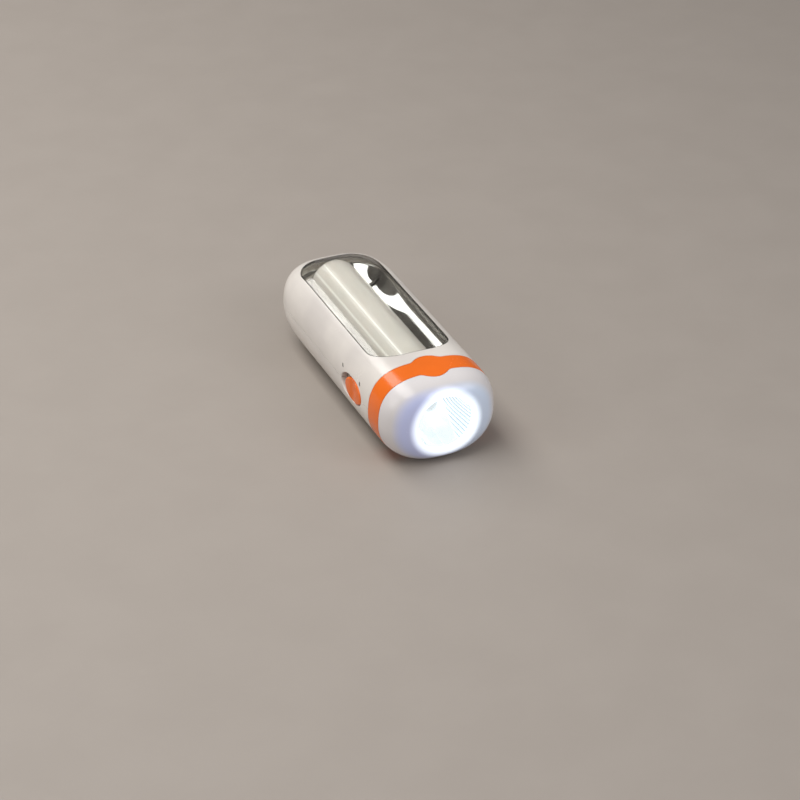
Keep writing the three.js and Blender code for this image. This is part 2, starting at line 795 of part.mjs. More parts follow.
function torchReflector() {
  const axis = [0, lensHeight];
  const profile = [[0, bowlFront]];
  for (let i = 0; i <= bowlSteps; i += 1) {
    const share = 1 - i / bowlSteps;
    profile.push([bowlRadius(share) + reflectorWall, bowlRear - share * reflectorDepth]);
  }
  const outside = revolve('y', [...profile, [0, bowlRear]], axis);
  const flange = rod('y', lensRadius, bowlFront, bowlFront + flangeThickness, axis, 2 * roundSides);
  const throat = rod('y', throatRadius + reflectorWall, bowlRear - reflectorWall, throatEnd, axis);
  const inside = loft(flutedRings());
  const bore = rod('y', throatRadius, bowlRear - reflectorWall, throatEnd + overrun, axis);
  return join(outside, flange, throat).subtract(join(inside, bore));
}

function torchLens() {
  return rod('y', lensRadius, lensFront, lensRear, [0, lensHeight], 2 * roundSides);
}

function lensSeal() {
  const [axis, inner, sides] = [[0, lensHeight], lensRadius - sealWidth, 2 * roundSides];
  return rod('y', lensRadius, sealFront, sealRear, axis, sides)
    .subtract(rod('y', inner, sealFront - overrun, sealRear + overrun, axis, sides));
}

function torchLed() {
  const base = boardFace - gap;
  const shoulder = base - ledBaseHeight;
  const profile = [];
  for (let i = 0; i <= tubeEndSteps; i += 1) {
    const angle = Math.PI / 2 * i / tubeEndSteps;
    profile.push([ledDomeRadius * Math.sin(angle), shoulder - ledDomeRadius * Math.cos(angle)]);
  }
  profile.push([ledBaseRadius, shoulder], [ledBaseRadius, base], [0, base]);
  return revolve('y', profile, [0, lensHeight]);
}

function torchLedBoard() {
  return rod('y', ledBoardRadius, boardFace, boardFace + ledBoardThickness, [0, lensHeight]);
}

function heatSink() {
  const axis = [0, lensHeight];
  const bossEnd = sinkFront + sinkThickness + sinkBossLength;
  const slots = Array.from({ length: sinkSlotCount }, (_, i) => {
    const place = sinkBossRadius * (i - (sinkSlotCount - 1) / 2) / sinkSlotCount * 2;
    return block(
      [place - sinkSlotWidth / 2, place + sinkSlotWidth / 2],
      [sinkFront + sinkThickness, bossEnd + overrun],
      [lensHeight - sinkBossRadius - gap, lensHeight + sinkBossRadius + gap],
    );
  });
  return join(
    rod('y', sinkRadius, sinkFront, sinkFront + sinkThickness, axis),
    rod('y', sinkBossRadius, sinkFront, bossEnd, axis),
  ).subtract(join(...slots));
}

function windowCover() {
  const plan = extrudeZ(windowOutline(-gap / 2), trayFloor, heightSpan[1]);
  return casingForm(coverInset).subtract(casingForm(coverInset + coverThickness)).intersect(plan);
}

// Tray rings narrow from the window's edge down to the floor.
function trayRings(grow, drop) {
  return trayRiseShares.map((rise, i) => {
    const inset = trayRimWidth + trayInsetShares[i] * traySlopeWidth;
    const corner = windowCorner - inset + grow;
    const outline = roundedOutline(
      [inset - windowHalfWidth - grow, windowHalfWidth - inset + grow],
      [trayFront - grow, windowRear - trayRimWidth - (inset - trayRimWidth) * rearInsetShare + grow],
      corner / 2,
      corner,
    );
    const height = trayFloor + rise * trayRise - (i === 0 ? drop : 0);
    return outline.map((point) => new THREE.Vector3(point.x, point.y, height));
  });
}

function lanternReflector() {
  return loft(trayRings(trayWall, trayWall)).subtract(loft(trayRings(0, 0)))
    .intersect(casingForm(Math.max(wall, coverInset + coverThickness) + gap, true));
}

// Half a round tube with a domed rear end, open below.
function tubeForm(inset, from) {
  const radius = tubeRadius - inset;
  const end = tubeRear - tubeEndDepth;
  const depth = tubeEndDepth - inset;
  const profile = [[0, from], [radius, from]];
  for (let i = 0; i <= tubeEndSteps; i += 1) {
    const angle = Math.PI / 2 * i / tubeEndSteps;
    profile.push([radius * Math.cos(angle), end + depth * Math.sin(angle)]);
  }
  const points = profile.map(([reach, along]) => new THREE.Vector2(reach, along));
  const geometry = new THREE.LatheGeometry(points, tubeSteps);
  geometry.scale(1, 1, (tubeHeight - inset) / radius).translate(0, 0, tubeFloor);
  return solidOf(geometry);
}

function diffuserTube() {
  const tubeFront = trayFront + trayWall;
  return tubeForm(0, tubeFront).subtract(tubeForm(tubeWall, tubeFront + tubeWall))
    .intersect(block(casingSpan, lengthSpan, [tubeFloor, heightSpan[1]]));
}

function lanternBoard() {
  const from = trayFront + tubeWall + stripMargin;
  const to = tubeRear - tubeWall - stripMargin;
  const face = tubeFloor + stripThickness;
  const strip = block([-stripHalfWidth, stripHalfWidth], [from, to], [tubeFloor, face]);
  const chips = Array.from({ length: chipCount }, (_, i) => {
    const place = from + (to - from) * (i + 1 / 2) / chipCount;
    return block(
      [-chipSize / 2, chipSize / 2], [place - chipSize / 2, place + chipSize / 2],
      [face - stripThickness / 2, face + chipHeight],
    );
  });
  return join(strip, ...chips);
}

// Knob: an oval button with a crowned face, a thumb scoop and a hollow stem for the lever.
function switchKnob() {
  const face = -halfWidth - knobProud;
  const base = plateFace - gap;
  const rings = [base, face + knobCrown].map((x) => (
    knobOutline(0, 0).map((point) => new THREE.Vector3(x, point.x, point.y))
  ));
  for (let i = 1; i < knobLayers; i += 1) {
    const angle = Math.PI / 2 * i / knobLayers;
    const shrink = knobCrown * (Math.cos(angle) - 1);
    rings.push(knobOutline(0, shrink).map((point) => (
      new THREE.Vector3(face + knobCrown * (1 - Math.sin(angle)), point.x, point.y)
    )));
  }
  const scoop = rod(
    'z', knobScoopRadius, partingHeight - 2 * knobHalfHeight, partingHeight + 2 * knobHalfHeight,
    [face + knobScoopDepth - knobScoopRadius, knobCentre], 2 * roundSides,
  );
  const square = (half, x) => block(
    x, [knobCentre - half, knobCentre + half], [partingHeight - half, partingHeight + half],
  );
  const stem = square(stemSize / 2, [base - overrun, plateFace + stemLength]);
  const socket = square(leverSize / 2 + gap, [base - leverReach, plateFace + stemLength + overrun]);
  return join(loft(rings), stem).subtract(join(scoop, socket));
}

function slidePlate() {
  const slotHalf = stemSize / 2 + gap;
  const height = knobHalfHeight + knobClearance + plateMargin;
  const sheet = block(
    [plateFace, plateBack], [knobCentre - plateReach, plateRear],
    [partingHeight - height, partingHeight + height],
  ).intersect(casingForm(wall + gap));
  return sheet.subtract(block(
    [plateFace - overrun, plateBack + overrun], [knobCentre - slotHalf, knobCentre + knobTravel + slotHalf],
    [partingHeight - slotHalf, partingHeight + slotHalf],
  ));
}

function switchLever() {
  const half = leverSize / 2;
  return block(
    [plateFace - leverReach, switchBack - switchLip - gap],
    [knobCentre - half, knobCentre + half], [partingHeight - half, partingHeight + half],
  );
}

function switchBody() {
  const middle = knobCentre + knobTravel / 2;
  const slotHalf = stemSize / 2 + gap;
  const housing = block(
    [switchFace, switchBack], [middle - switchLength / 2, middle + switchLength / 2],
    [partingHeight - switchHeight / 2, partingHeight + switchHeight / 2],
  );
  return housing.subtract(block(
    [switchFace - overrun, switchBack - switchLip],
    [knobCentre - slotHalf, knobCentre + knobTravel + slotHalf],
    [partingHeight - slotHalf, partingHeight + slotHalf],
  ));
}

function controlBoard() {
  const back = boardPlace + boardThickness;
  const middle = (boardFront + boardRear) / 2;
  const height = (boardBottom + boardTop) / 2;
  return join(
    block([boardPlace, back], [boardFront, boardRear], [boardBottom, boardTop]),
    block([back - weld, back + chipBlockHeight], [middle, middle + chipBlock], [height, height + chipBlock]),
  );
}

function capacitor() {
  const back = boardPlace + boardThickness + gap;
  const centre = [boardFront + capacitorPlace, axleHeight];
  return rod('x', capacitorRadius, back, back + capacitorHeight, centre);
}

// Gears. A tooth's half-angle narrows outwards as the involute of its base circle.
function involute(angle) {
  return Math.tan(angle) - angle;
}

function gear(spec) {
  const { teeth, centre, from, to, turn, addendum, bore } = spec;
  const pitch = gearModule * teeth / 2;
  const pressure = THREE.MathUtils.degToRad(pressureDegrees);
  const baseCircle = pitch * Math.cos(pressure);
  const halfAngle = (radius) => {
    const at = Math.acos(Math.min(1, baseCircle / radius));
    return Math.PI / 2 / teeth * (1 - backlashShare) + involute(pressure) - involute(at);
  };
  const tip = pitch + addendum * gearModule;
  const root = pitch - dedendumShare * gearModule;
  const flank = spec.fine ? [root, pitch, tip] : [root, tip];
  const outline = [];
  for (let i = 0; i < teeth; i += 1) {
    const middle = turn + 2 * Math.PI * i / teeth;
    const place = (radius, side) => {
      const angle = middle + side * halfAngle(radius);
      outline.push(new THREE.Vector2(
        centre[0] + radius * Math.cos(angle), centre[1] + radius * Math.sin(angle),
      ));
    };
    flank.forEach((radius) => place(radius, -1));
    [...flank].reverse().forEach((radius) => place(radius, 1));
  }
  const wheel = extrudeX(outline, from, to);
  return bore ? wheel.subtract(rod('x', bore, from - overrun, to + overrun, centre, smallSides)) : wheel;
}

// A wheel and a pinion on one hub, free on a fixed axle.
function compoundGear(place, teeth, layer, pinionEnd) {
  const centre = [place, axleHeight];
  const wheel = gear({
    teeth, centre, from: layer, to: layer + thinFace, turn: 0, addendum: wheelAddendumShare,
  });
  const pinion = gear({
    teeth: pinionTeeth, centre, from: layer, to: pinionEnd, turn: Math.PI / pinionTeeth,
    addendum: pinionAddendumShare, fine: true,
  });
  const collar = rod(
    'x', collarRadius, framePlace + gearPlateThickness + gap, outerPlate - gap, centre, smallSides,
  );
  return join(wheel, pinion, collar)
    .subtract(rod('x', axleRadius + gap, framePlace, outerPlateEnd, centre, smallSides));
}

function crankGear() {
  const half = shaftSquare / 2 + gap;
  const wheel = gear({
    teeth: crankTeeth, centre: crankAxis, from: layer1, to: layer1 + crankFace, turn: 0,
    addendum: wheelAddendumShare,
  });
  return wheel.subtract(block(
    [layer1 - overrun, layer1 + crankFace + overrun],
    [crankPlace - half, crankPlace + half], [axleHeight - half, axleHeight + half],
  ));
}

function rotorPinion() {
  return gear({
    teeth: rotorTeeth, centre: [rotorPlace, axleHeight], from: layer3, to: layer3 + thinFace,
    turn: Math.PI / rotorTeeth, addendum: pinionAddendumShare, fine: true, bore: rotorShaftRadius + gap,
  });
}

// Gearbox: a frame with pillars, and a cover plate screwed onto them.
const pillarPlaces = [
  [rotorPlace, axleHeight + pillarOffset],
  [rotorPlace, axleHeight - pillarOffset],
  [crankPlace + pillarLead, axleHeight],
];
const axlePlaces = [gearAPlace, gearBPlace];

function gearPlate(from, to) {
  const frontCircle = [rotorPlace, axleHeight, frameFrontRadius];
  const rearCircle = [crankPlace, axleHeight, frameRearRadius];
  const ear = [crankPlace + pillarLead, axleHeight, frameEarRadius];
  return join(
    extrudeX(beltOutline(frontCircle, rearCircle), from, to),
    extrudeX(beltOutline(rearCircle, ear), from, to),
  );
}

function gearHoles(from, to) {
  const holes = axlePlaces.map((y) => rod('x', axleRadius + gap, from, to, [y, axleHeight], smallSides));
  return join(...holes, rod('x', rotorShaftRadius + gap, from, to, [rotorPlace, axleHeight], smallSides));
}

function gearboxFrame() {
  const end = framePlace + gearPlateThickness;
  const pillars = pillarPlaces.map((place) => (
    rod('x', pillarRadius, framePlace, outerPlate - gap, place, smallSides)
      .subtract(rod('x', gearScrewRadius + gap, end, outerPlate, place, smallSides))
  ));
  const journal = rod('x', innerJournalRadius + gap, framePlace - overrun, end + overrun, crankAxis);
  return join(gearPlate(framePlace, end), ...pillars)
    .subtract(join(gearHoles(framePlace - overrun, end + overrun), journal));
}

function gearboxPlate() {
  const screwHoles = pillarPlaces.map((place) => (
    rod('x', gearScrewRadius + gap, outerPlate - overrun, outerPlateEnd + overrun, place, smallSides)
  ));
  const journal = rod('x', shaftRadius + gap, outerPlate - overrun, outerPlateEnd + overrun, crankAxis);
  return gearPlate(outerPlate, outerPlateEnd)
    .subtract(join(gearHoles(outerPlate - overrun, outerPlateEnd + overrun), journal, ...screwHoles));
}

function gearboxScrew(place) {
  const [tip, head] = [framePlace + gearPlateThickness + gap, outerPlateEnd + gap];
  return join(
    rod('x', gearScrewHead, head, head + gearScrewHeadHeight, place, smallSides),
    rod('x', gearScrewRadius, tip, head + gearScrewHeadHeight / 2, place, smallSides),
  );
}

function gearAxle(place) {
  return rod('x', axleRadius, framePlace, outerPlateEnd, [place, axleHeight], smallSides);
}

// Generator: a can on the gearbox frame, a winding and a magnet on the rotor shaft.
function generatorCan() {
  return rod('x', canRadius, canStart, canEnd, rotorAxis, 2 * smallSides)
    .subtract(rod('x', canRadius - canWall, canStart + canWall, canEnd + overrun, rotorAxis, 2 * smallSides))
    .subtract(rod('x', rotorShaftRadius + gap, canStart - overrun, canEnd, rotorAxis, smallSides));
}

function statorWinding() {
  const [from, to] = [statorMiddle - statorLength / 2, statorMiddle + statorLength / 2];
  return rod('x', canRadius - canWall - gap, from, to, rotorAxis, 2 * smallSides)
    .subtract(rod('x', statorRadius, from - overrun, to + overrun, rotorAxis, 2 * smallSides));
}

function generatorRotor() {
  const [from, to] = [statorMiddle - magnetLength / 2, statorMiddle + magnetLength / 2];
  return join(
    rod('x', magnetRadius, from, to, rotorAxis, 2 * smallSides),
    rod('x', rotorShaftRadius, canStart, layer3 + thinFace, rotorAxis, smallSides),
  );
}

// Crank shaft: round where it turns in a plate or the bush, square where it drives.
function crankShaft() {
  const half = shaftSquare / 2;
  const square = (from, to) => block(
    [from, to], [crankPlace - half, crankPlace + half], [axleHeight - half, axleHeight + half],
  );
  const squareEnd = armBack + hubBoss - gap;
  const gearEnd = layer1 + crankFace + gap;
  const thread = rod(
    'x', hubScrewRadius + gap, squareEnd - hubScrewLength - gap, squareEnd + overrun, crankAxis,
  );
  return join(
    rod('x', innerJournalRadius, framePlace, layer1, crankAxis),
    rod('x', shaftCollarRadius, framePlace + gearPlateThickness + gap, layer1 - gap, crankAxis),
    square(layer1 - layerGap, outerPlate),
    rod('x', shaftRadius, gearEnd, bayFace, crankAxis),
    square(bayFace - armThickness, squareEnd),
  ).subtract(thread);
}

function crankBush() {
  const bore = shaftRadius + gap;
  return join(
    rod('x', flangeRadius, flangeEnd - bushFlangeThickness, flangeEnd, crankAxis),
    rod('x', bore + bushWall, flangeEnd - bushFlangeThickness, bayFace, crankAxis),
  ).subtract(rod('x', bore, flangeEnd - 2 * wall, bayFace + overrun, crankAxis));
}

const slotHalf = gripRadius + slotClearance;
const gripStart = hingeY - gripRadius;
const gripEnd = gripStart - gripLength;
const hingeAxis = [hingeX, hingeY];

function crankArm() {
  const half = shaftSquare / 2 + gap;
  const outline = beltOutline(
    [crankPlace, axleHeight, hubRadius], [hingeY, axleHeight, armEndRadius], 2 * smallSides,
  );
  const ears = rod('z', earRadius, axleHeight - armEndRadius, axleHeight + armEndRadius, hingeAxis);
  const boss = rod('x', hubRadius - hubBoss, armFace, armBack + hubBoss, crankAxis, 2 * smallSides);
  const slot = block(
    [armFace - overrun, hingeX + 2 * earRadius],
    [gripEnd - slotEndClearance, hingeY + armEndRadius - armWeb],
    [axleHeight - slotHalf, axleHeight + slotHalf],
  );
  const drive = block(
    [armFace - overrun, armBack + hubBoss + overrun],
    [crankPlace - half, crankPlace + half], [axleHeight - half, axleHeight + half],
  );
  const pinSpan = [axleHeight - 2 * armEndRadius, axleHeight + 2 * armEndRadius];
  const pinHole = rod('z', pinRadius + gap, ...pinSpan, hingeAxis, smallSides);
  return join(extrudeX(outline, armFace, armBack), ears, boss).subtract(join(slot, drive, pinHole));
}

function hubScrew() {
  const head = armBack + hubBoss + gap;
  return join(
    rod('x', hubScrewHead, head, head + hubScrewHeadHeight, crankAxis),
    rod('x', hubScrewRadius, head - hubScrewLength, head + hubScrewHeadHeight / 2, crankAxis, smallSides),
  );
}

function hingePin() {
  const reach = armEndRadius + gap;
  return join(
    rod('z', pinRadius, axleHeight - reach, axleHeight + reach, hingeAxis, smallSides),
    rod('z', pinHead, axleHeight + reach, axleHeight + reach + pinHeadHeight, hingeAxis, smallSides),
    rod('z', pinHead, axleHeight - reach - pinHeadHeight, axleHeight - reach, hingeAxis, smallSides),
  );
}

function knobHinge() {
  const reach = slotHalf - gap;
  const [low, high] = [axleHeight - reach, axleHeight + reach];
  const pinHole = rod('z', pinRadius + gap, low - overrun, high + overrun, hingeAxis, smallSides);
  const spindleHole = rod(
    'y', spindleRadius + gap, hingeY - 2 * barrelRadius, hingeY - spindleRootDepth,
    [hingeX, axleHeight], smallSides,
  );
  return rod('z', barrelRadius, low, high, hingeAxis).subtract(join(pinHole, spindleHole));
}

function knobSpindle() {
  const axis = [hingeX, axleHeight];
  const head = gripEnd + spindleSink - spindleHeadHeight;
  return join(
    rod('y', spindleRadius, head, hingeY - spindleRootDepth - gap, axis, smallSides),
    rod('y', spindleHead, head, head + spindleHeadHeight, axis),
  );
}

// Grip: a barrel with rounded ends and a sunk seat for the spindle's head.
function knobGrip() {
  const profile = [[spindleRadius + gap, gripEnd]];
  for (let i = 0; i <= gripSteps; i += 1) {
    const share = i / gripSteps;
    const radius = gripEndRadius + (gripRadius - gripEndRadius) * Math.sin(Math.PI * share) ** (1 / 2);
    profile.push([radius, gripEnd + share * gripLength]);
  }
  profile.push([spindleRadius + gap, gripStart], [spindleRadius + gap, gripEnd]);
  const seat = rod(
    'y', spindleHead + gap, gripEnd - overrun, gripEnd + spindleSink + gap, [hingeX, axleHeight],
  );
  return revolve('y', profile, [hingeX, axleHeight]).subtract(seat);
}

function batteryCell() {
  const axis = [cellPlace, cellHeight];
  const end = cellFront + cellLength;
  return join(
    rod('y', cellRadius, cellFront + cellNoseHeight, end, axis, 2 * smallSides),
    rod('y', cellNose, cellFront, cellFront + 2 * cellNoseHeight, axis),
  );
}

function cellTab(from) {
  return rod('y', tabRadius, from, from + tabThickness, [cellPlace, cellHeight]);
}

function caseScrew({ x, y }) {
  const [head, tip] = [screwHeadPlace - screwHeadHeight, partingHeight + screwBite];
  return join(
    rod('z', screwHeadRadius, head, screwHeadPlace, [x, y], smallSides),
    rod('z', screwRadius, screwHeadPlace - screwHeadHeight / 2, tip, [x, y], smallSides),
  );
}

// Assembly. The inner group lifts the casing's axis to its height over the resting flat.
const torch = new THREE.Group();
const casing = new THREE.Group();
casing.position.z = -baseHeight;
torch.add(casing);

function place(name, body, material) {
  const mesh = new THREE.Mesh(geometryOf(body), material);
  mesh.name = name;
  casing.add(mesh);
}

place('upper_shell', upperShell(), whiteShell);
place('lower_shell', lowerShell(), whiteShell);
place('accent_band', band(), orangeShell);
place('front_bezel', bezel(), translucentWhite);
place('torch_lens', torchLens(), clearPlastic);
place('lens_seal', lensSeal(), rubber);
place('torch_reflector', torchReflector(), chrome);
place('torch_led', torchLed(), litLed);
place('torch_led_board', torchLedBoard(), whiteBoard);
place('heat_sink', heatSink(), aluminium);
place('window_cover', windowCover(), clearPlastic);
place('lantern_reflector', lanternReflector(), chrome);
place('diffuser_tube', diffuserTube(), milkyPlastic);
place('lantern_led_board', lanternBoard(), whiteBoard);
place('switch_knob', switchKnob(), orangeShell);
place('switch_lever', switchLever(), darkPlastic);
place('slide_plate', slidePlate(), darkPlastic);
place('switch_body', switchBody(), zinc);
place('control_board', controlBoard(), greenBoard);
place('storage_capacitor', capacitor(), darkPlastic);
place('battery_cell', batteryCell(), cellWrap);
place('battery_tab_front', cellTab(cellFront - gap - tabThickness), zinc);
place('battery_tab_rear', cellTab(cellFront + cellLength + gap), zinc);
place('gearbox_frame', gearboxFrame(), gearPlastic);
place('gearbox_plate', gearboxPlate(), zinc);
pillarPlaces.forEach((spot, i) => place(`gearbox_screw_${i + 1}`, gearboxScrew(spot), steel));
place('gear_axle_a', gearAxle(gearAPlace), steel);
place('gear_axle_b', gearAxle(gearBPlace), steel);
place('compound_gear_a', compoundGear(gearAPlace, wheelATeeth, layer2, layer1 + crankFace), gearPlastic);
place('compound_gear_b', compoundGear(gearBPlace, wheelBTeeth, layer3, layer2 + thinFace), gearPlastic);
place('crank_gear', crankGear(), gearPlastic);
place('rotor_pinion', rotorPinion(), brass);
place('generator_can', generatorCan(), zinc);
place('stator_winding', statorWinding(), copper);
place('generator_rotor', generatorRotor(), magnet);
place('crank_shaft', crankShaft(), steel);
place('crank_bush', crankBush(), brass);
place('crank_arm', crankArm(), whiteShell);
place('crank_screw', hubScrew(), steel);
place('hinge_pin', hingePin(), steel);
place('knob_hinge', knobHinge(), whiteShell);
place('knob_spindle', knobSpindle(), steel);
place('knob_grip', knobGrip(), orangeShell);
caseScrews.forEach((spot, i) => place(`case_screw_${i + 1}`, caseScrew(spot), steel));

export default torch;
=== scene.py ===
"""Looks of the hand crank torch and lantern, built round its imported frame.

Sizes are in millimetres from the axis of the casing, with the lamp towards -Y. Every mesh is
made in metres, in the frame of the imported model, whose floor is at height zero.
"""

import logging
import math
from collections.abc import Callable, Iterable, Mapping, Sequence
from dataclasses import dataclass, field
from enum import Enum
from typing import Any, ClassVar

import bpy
import numpy as np
from mathutils import Matrix, Vector


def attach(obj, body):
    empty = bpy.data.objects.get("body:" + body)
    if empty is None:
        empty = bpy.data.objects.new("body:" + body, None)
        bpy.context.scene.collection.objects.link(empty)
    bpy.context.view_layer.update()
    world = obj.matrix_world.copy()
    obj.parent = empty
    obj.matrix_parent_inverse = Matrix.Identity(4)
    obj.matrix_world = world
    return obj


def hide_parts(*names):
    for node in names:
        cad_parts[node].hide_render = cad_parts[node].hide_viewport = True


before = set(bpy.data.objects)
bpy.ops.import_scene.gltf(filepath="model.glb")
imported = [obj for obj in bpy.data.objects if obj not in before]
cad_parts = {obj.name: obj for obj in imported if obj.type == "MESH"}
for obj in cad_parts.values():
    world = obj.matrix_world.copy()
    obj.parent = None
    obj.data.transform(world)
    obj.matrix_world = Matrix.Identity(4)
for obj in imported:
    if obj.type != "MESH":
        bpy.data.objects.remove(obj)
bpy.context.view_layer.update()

LOG = logging.getLogger("torch")
MM = 0.001
AXIS_HEIGHT = 26.4  # of the casing's axis over the floor
MERGE = 1e-6  # metres within which points become one
LEVEL = 1e-3  # within which two ends lie level
SMOOTH_ANGLE = math.radians(32)
FULL_TURN = 2 * math.pi
QUARTER_TURN = math.pi / 2
OVERRUN = 1.0  # how far a tool goes past what it cuts
GAP = 0.3  # between neighbouring pieces of the casing

# Sizes that several pieces or finishes share
LENS_HEIGHT = 1.0
CRANK_AXIS = (17.0, -6.5)  # along and up
RIBS = 48  # round the lamp's bowl
RIBBED_FROM = 8.5  # distance across, past which the bowl is ribbed
WINDOW_PLAN = (25.7, -52.8, 81.1, 17.3)  # half width, front, rear, corner radius
WINDOW_FOOT = 8.0  # height from which the opening is cut

Body = bpy.types.Object
Pair = tuple[float, float]
Triple = tuple[float, float, float]
Quad = tuple[float, float, float, float]
Colour = tuple[int, int, int]
Socket = bpy.types.NodeSocket


# Mesh tools


class Axis(Enum):
    """The axis that a turned piece lies along, with the turn that takes +Z onto it."""

    X = (0.0, QUARTER_TURN, 0.0)
    Y = (-QUARTER_TURN, 0.0, 0.0)
    Z = (0.0, 0.0, 0.0)

    def spot(self, along: float, centre: Pair) -> Triple:
        """Gives the point at a place along the axis.

        Args:
            along: Place along the axis.
            centre: Place on the two other axes, in the order of their names.

        Returns:
            The point's three coordinates.
        """
        a, b = centre
        return {Axis.X: (along, a, b), Axis.Y: (a, along, b), Axis.Z: (a, b, along)}[self]


class Joining(Enum):
    """How a tool body changes the body that it meets."""

    ADD = "UNION"
    CUT = "DIFFERENCE"
    KEEP = "INTERSECT"


def metres(x: float, y: float, z: float) -> Vector:
    """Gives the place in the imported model's frame of a point in millimetres from the casing's axis."""
    return Vector((x, y, z + AXIS_HEIGHT)) * MM


def focus(body: Body | None) -> None:
    """Leaves one body selected and active, or none.

    Args:
        body: The body, or None to leave nothing selected.
    """
    if bpy.context.mode != "OBJECT":
        bpy.ops.object.mode_set(mode="OBJECT")
    bpy.ops.object.select_all(action="DESELECT")
    if body is not None:
        body.select_set(True)
        bpy.context.view_layer.objects.active = body


def settle() -> Body:
    """Moves the place of the active body into its mesh.

    Returns:
        The active body, now at the origin, unturned and unscaled.
    """
    bpy.ops.object.transform_apply(location=True, rotation=True, scale=True)
    return bpy.context.object


def rod(axis: Axis, radius: float, start: float, end: float, centre: Pair, sides: int = 96,
        end_radius: float | None = None) -> Body:
    """Makes a cylinder, or a cone where its end has a radius of its own.

    Args:
        axis: Axis that the cylinder lies along.
        radius: Radius at its start.
        start: Lower end along the axis.
        end: Upper end along the axis.
        centre: Place of its middle line on the two other axes.
        sides: Number of sides.
        end_radius: Radius at its upper end.

    Returns:
        The body.
    """
    focus(None)
    bpy.ops.mesh.primitive_cone_add(
        vertices=sides, radius1=radius * MM, depth=(end - start) * MM,
        radius2=(radius if end_radius is None else end_radius) * MM,
        location=metres(*axis.spot((start + end) / 2, centre)), rotation=axis.value,
    )
    return settle()


def block(x: Pair, y: Pair, z: Pair) -> Body:
    """Makes a box between two values on each axis.

    Args:
        x: Its left and right sides.
        y: Its front and rear sides.
        z: Its underside and top.

    Returns:
        The body.
    """
    focus(None)
    middle = [sum(span) / 2 for span in (x, y, z)]
    bpy.ops.mesh.primitive_cube_add(size=1, location=metres(*middle))
    bpy.context.object.scale = [(end - start) * MM for start, end in (x, y, z)]
    return settle()


def close_up() -> None:
    """Merges the edited mesh's doubles, caps its open ends and turns its faces outwards."""
    bpy.ops.mesh.select_all(action="SELECT")
    bpy.ops.mesh.remove_doubles(threshold=MERGE)
    bpy.ops.mesh.select_all(action="SELECT")
    bpy.ops.mesh.fill_holes(sides=0)
    bpy.ops.mesh.select_all(action="SELECT")
    bpy.ops.mesh.normals_make_consistent(inside=False)
    bpy.ops.object.mode_set(mode="OBJECT")


def loft(rings: np.ndarray) -> Body:
    """Makes a closed body through a stack of rings, from a grid that is bent round and capped.

    Args:
        rings: Points in millimetres, as layers by points round by three.

    Returns:
        The body, with its faces turned outwards.
    """
    layers, around = rings.shape[:2]
    focus(None)
    bpy.ops.mesh.primitive_grid_add(x_subdivisions=around, y_subdivisions=layers - 1)
    body = bpy.context.object
    closed = np.concatenate([rings, rings[:, :1]], axis=1)
    places = (closed + np.array([0, 0, AXIS_HEIGHT])) * MM
    body.data.vertices.foreach_set("co", places.astype(np.float32).ravel())
    bpy.ops.object.mode_set(mode="EDIT")
    close_up()
    return body


def even_angles(count: int) -> np.ndarray:
    """Gives evenly spread angles of one full turn."""
    return np.arange(count) * FULL_TURN / count


def lathe(axis: Axis, profile: Iterable[Pair], centre: Pair, sides: int = 96) -> Body:
    """Turns a profile about an axis.

    Args:
        axis: Axis that the piece turns about.
        profile: Radius and place along the axis, from one end to the other.
        centre: Place of the axis on the two other axes.
        sides: Number of sides.

    Returns:
        The body.
    """
    rings = [
        [axis.spot(along, (centre[0] + radius * math.cos(a), centre[1] + radius * math.sin(a)))
         for a in even_angles(sides)]
        for radius, along in profile
    ]
    return loft(np.array(rings))


def fluted(layers: Iterable[tuple[np.ndarray, float]], centre: Pair) -> Body:
    """Makes a body round the Y axis whose radius changes on the way round.

    Args:
        layers: Radius at each of the even angles, and place along Y, of each layer.
        centre: Place of the axis on X and Z.

    Returns:
        The body.
    """
    x, z = centre
    rings = []
    for reach, along in layers:
        angles = even_angles(len(reach))
        ring = [x + reach * np.cos(angles), np.full(len(reach), along), z + reach * np.sin(angles)]
        rings.append(np.stack(ring, axis=1))
    return loft(np.array(rings))


def ring_of(axis: Axis, profile: Sequence[Pair], centre: Pair, sides: int = 96) -> Body:
    """Spins a closed profile, which stays clear of the axis, into a ring.

    Args:
        axis: Axis that the profile is spun about.
        profile: Radius and place along the axis of each corner.
        centre: Place of the axis on the two other axes.
        sides: Number of sides.

    Returns:
        The ring.
    """
    focus(None)
    bpy.ops.mesh.primitive_circle_add(vertices=len(profile), fill_type="NOTHING")
    ring = bpy.context.object
    for vertex, (radius, along) in zip(ring.data.vertices, profile):
        vertex.co = metres(*axis.spot(along, (centre[0] + radius, centre[1])))
    bpy.ops.object.mode_set(mode="EDIT")
    bpy.ops.mesh.select_all(action="SELECT")
    line = {Axis.X: (1, 0, 0), Axis.Y: (0, 1, 0), Axis.Z: (0, 0, 1)}[axis]
    bpy.ops.mesh.spin(steps=sides, angle=FULL_TURN, center=metres(*axis.spot(0, centre)), axis=line)
    close_up()
    return ring


def prism(axis: Axis, layers: Iterable[tuple[float, Sequence[Pair]]]) -> Body:
    """Makes a body through plane outlines of as many points each.

    Args:
        axis: Axis that the outlines are stacked along.
        layers: Place along the axis and outline of each layer.

    Returns:
        The body.
    """
    return loft(np.array([[axis.spot(along, tuple(point)) for point in outline]
                          for along, outline in layers]))


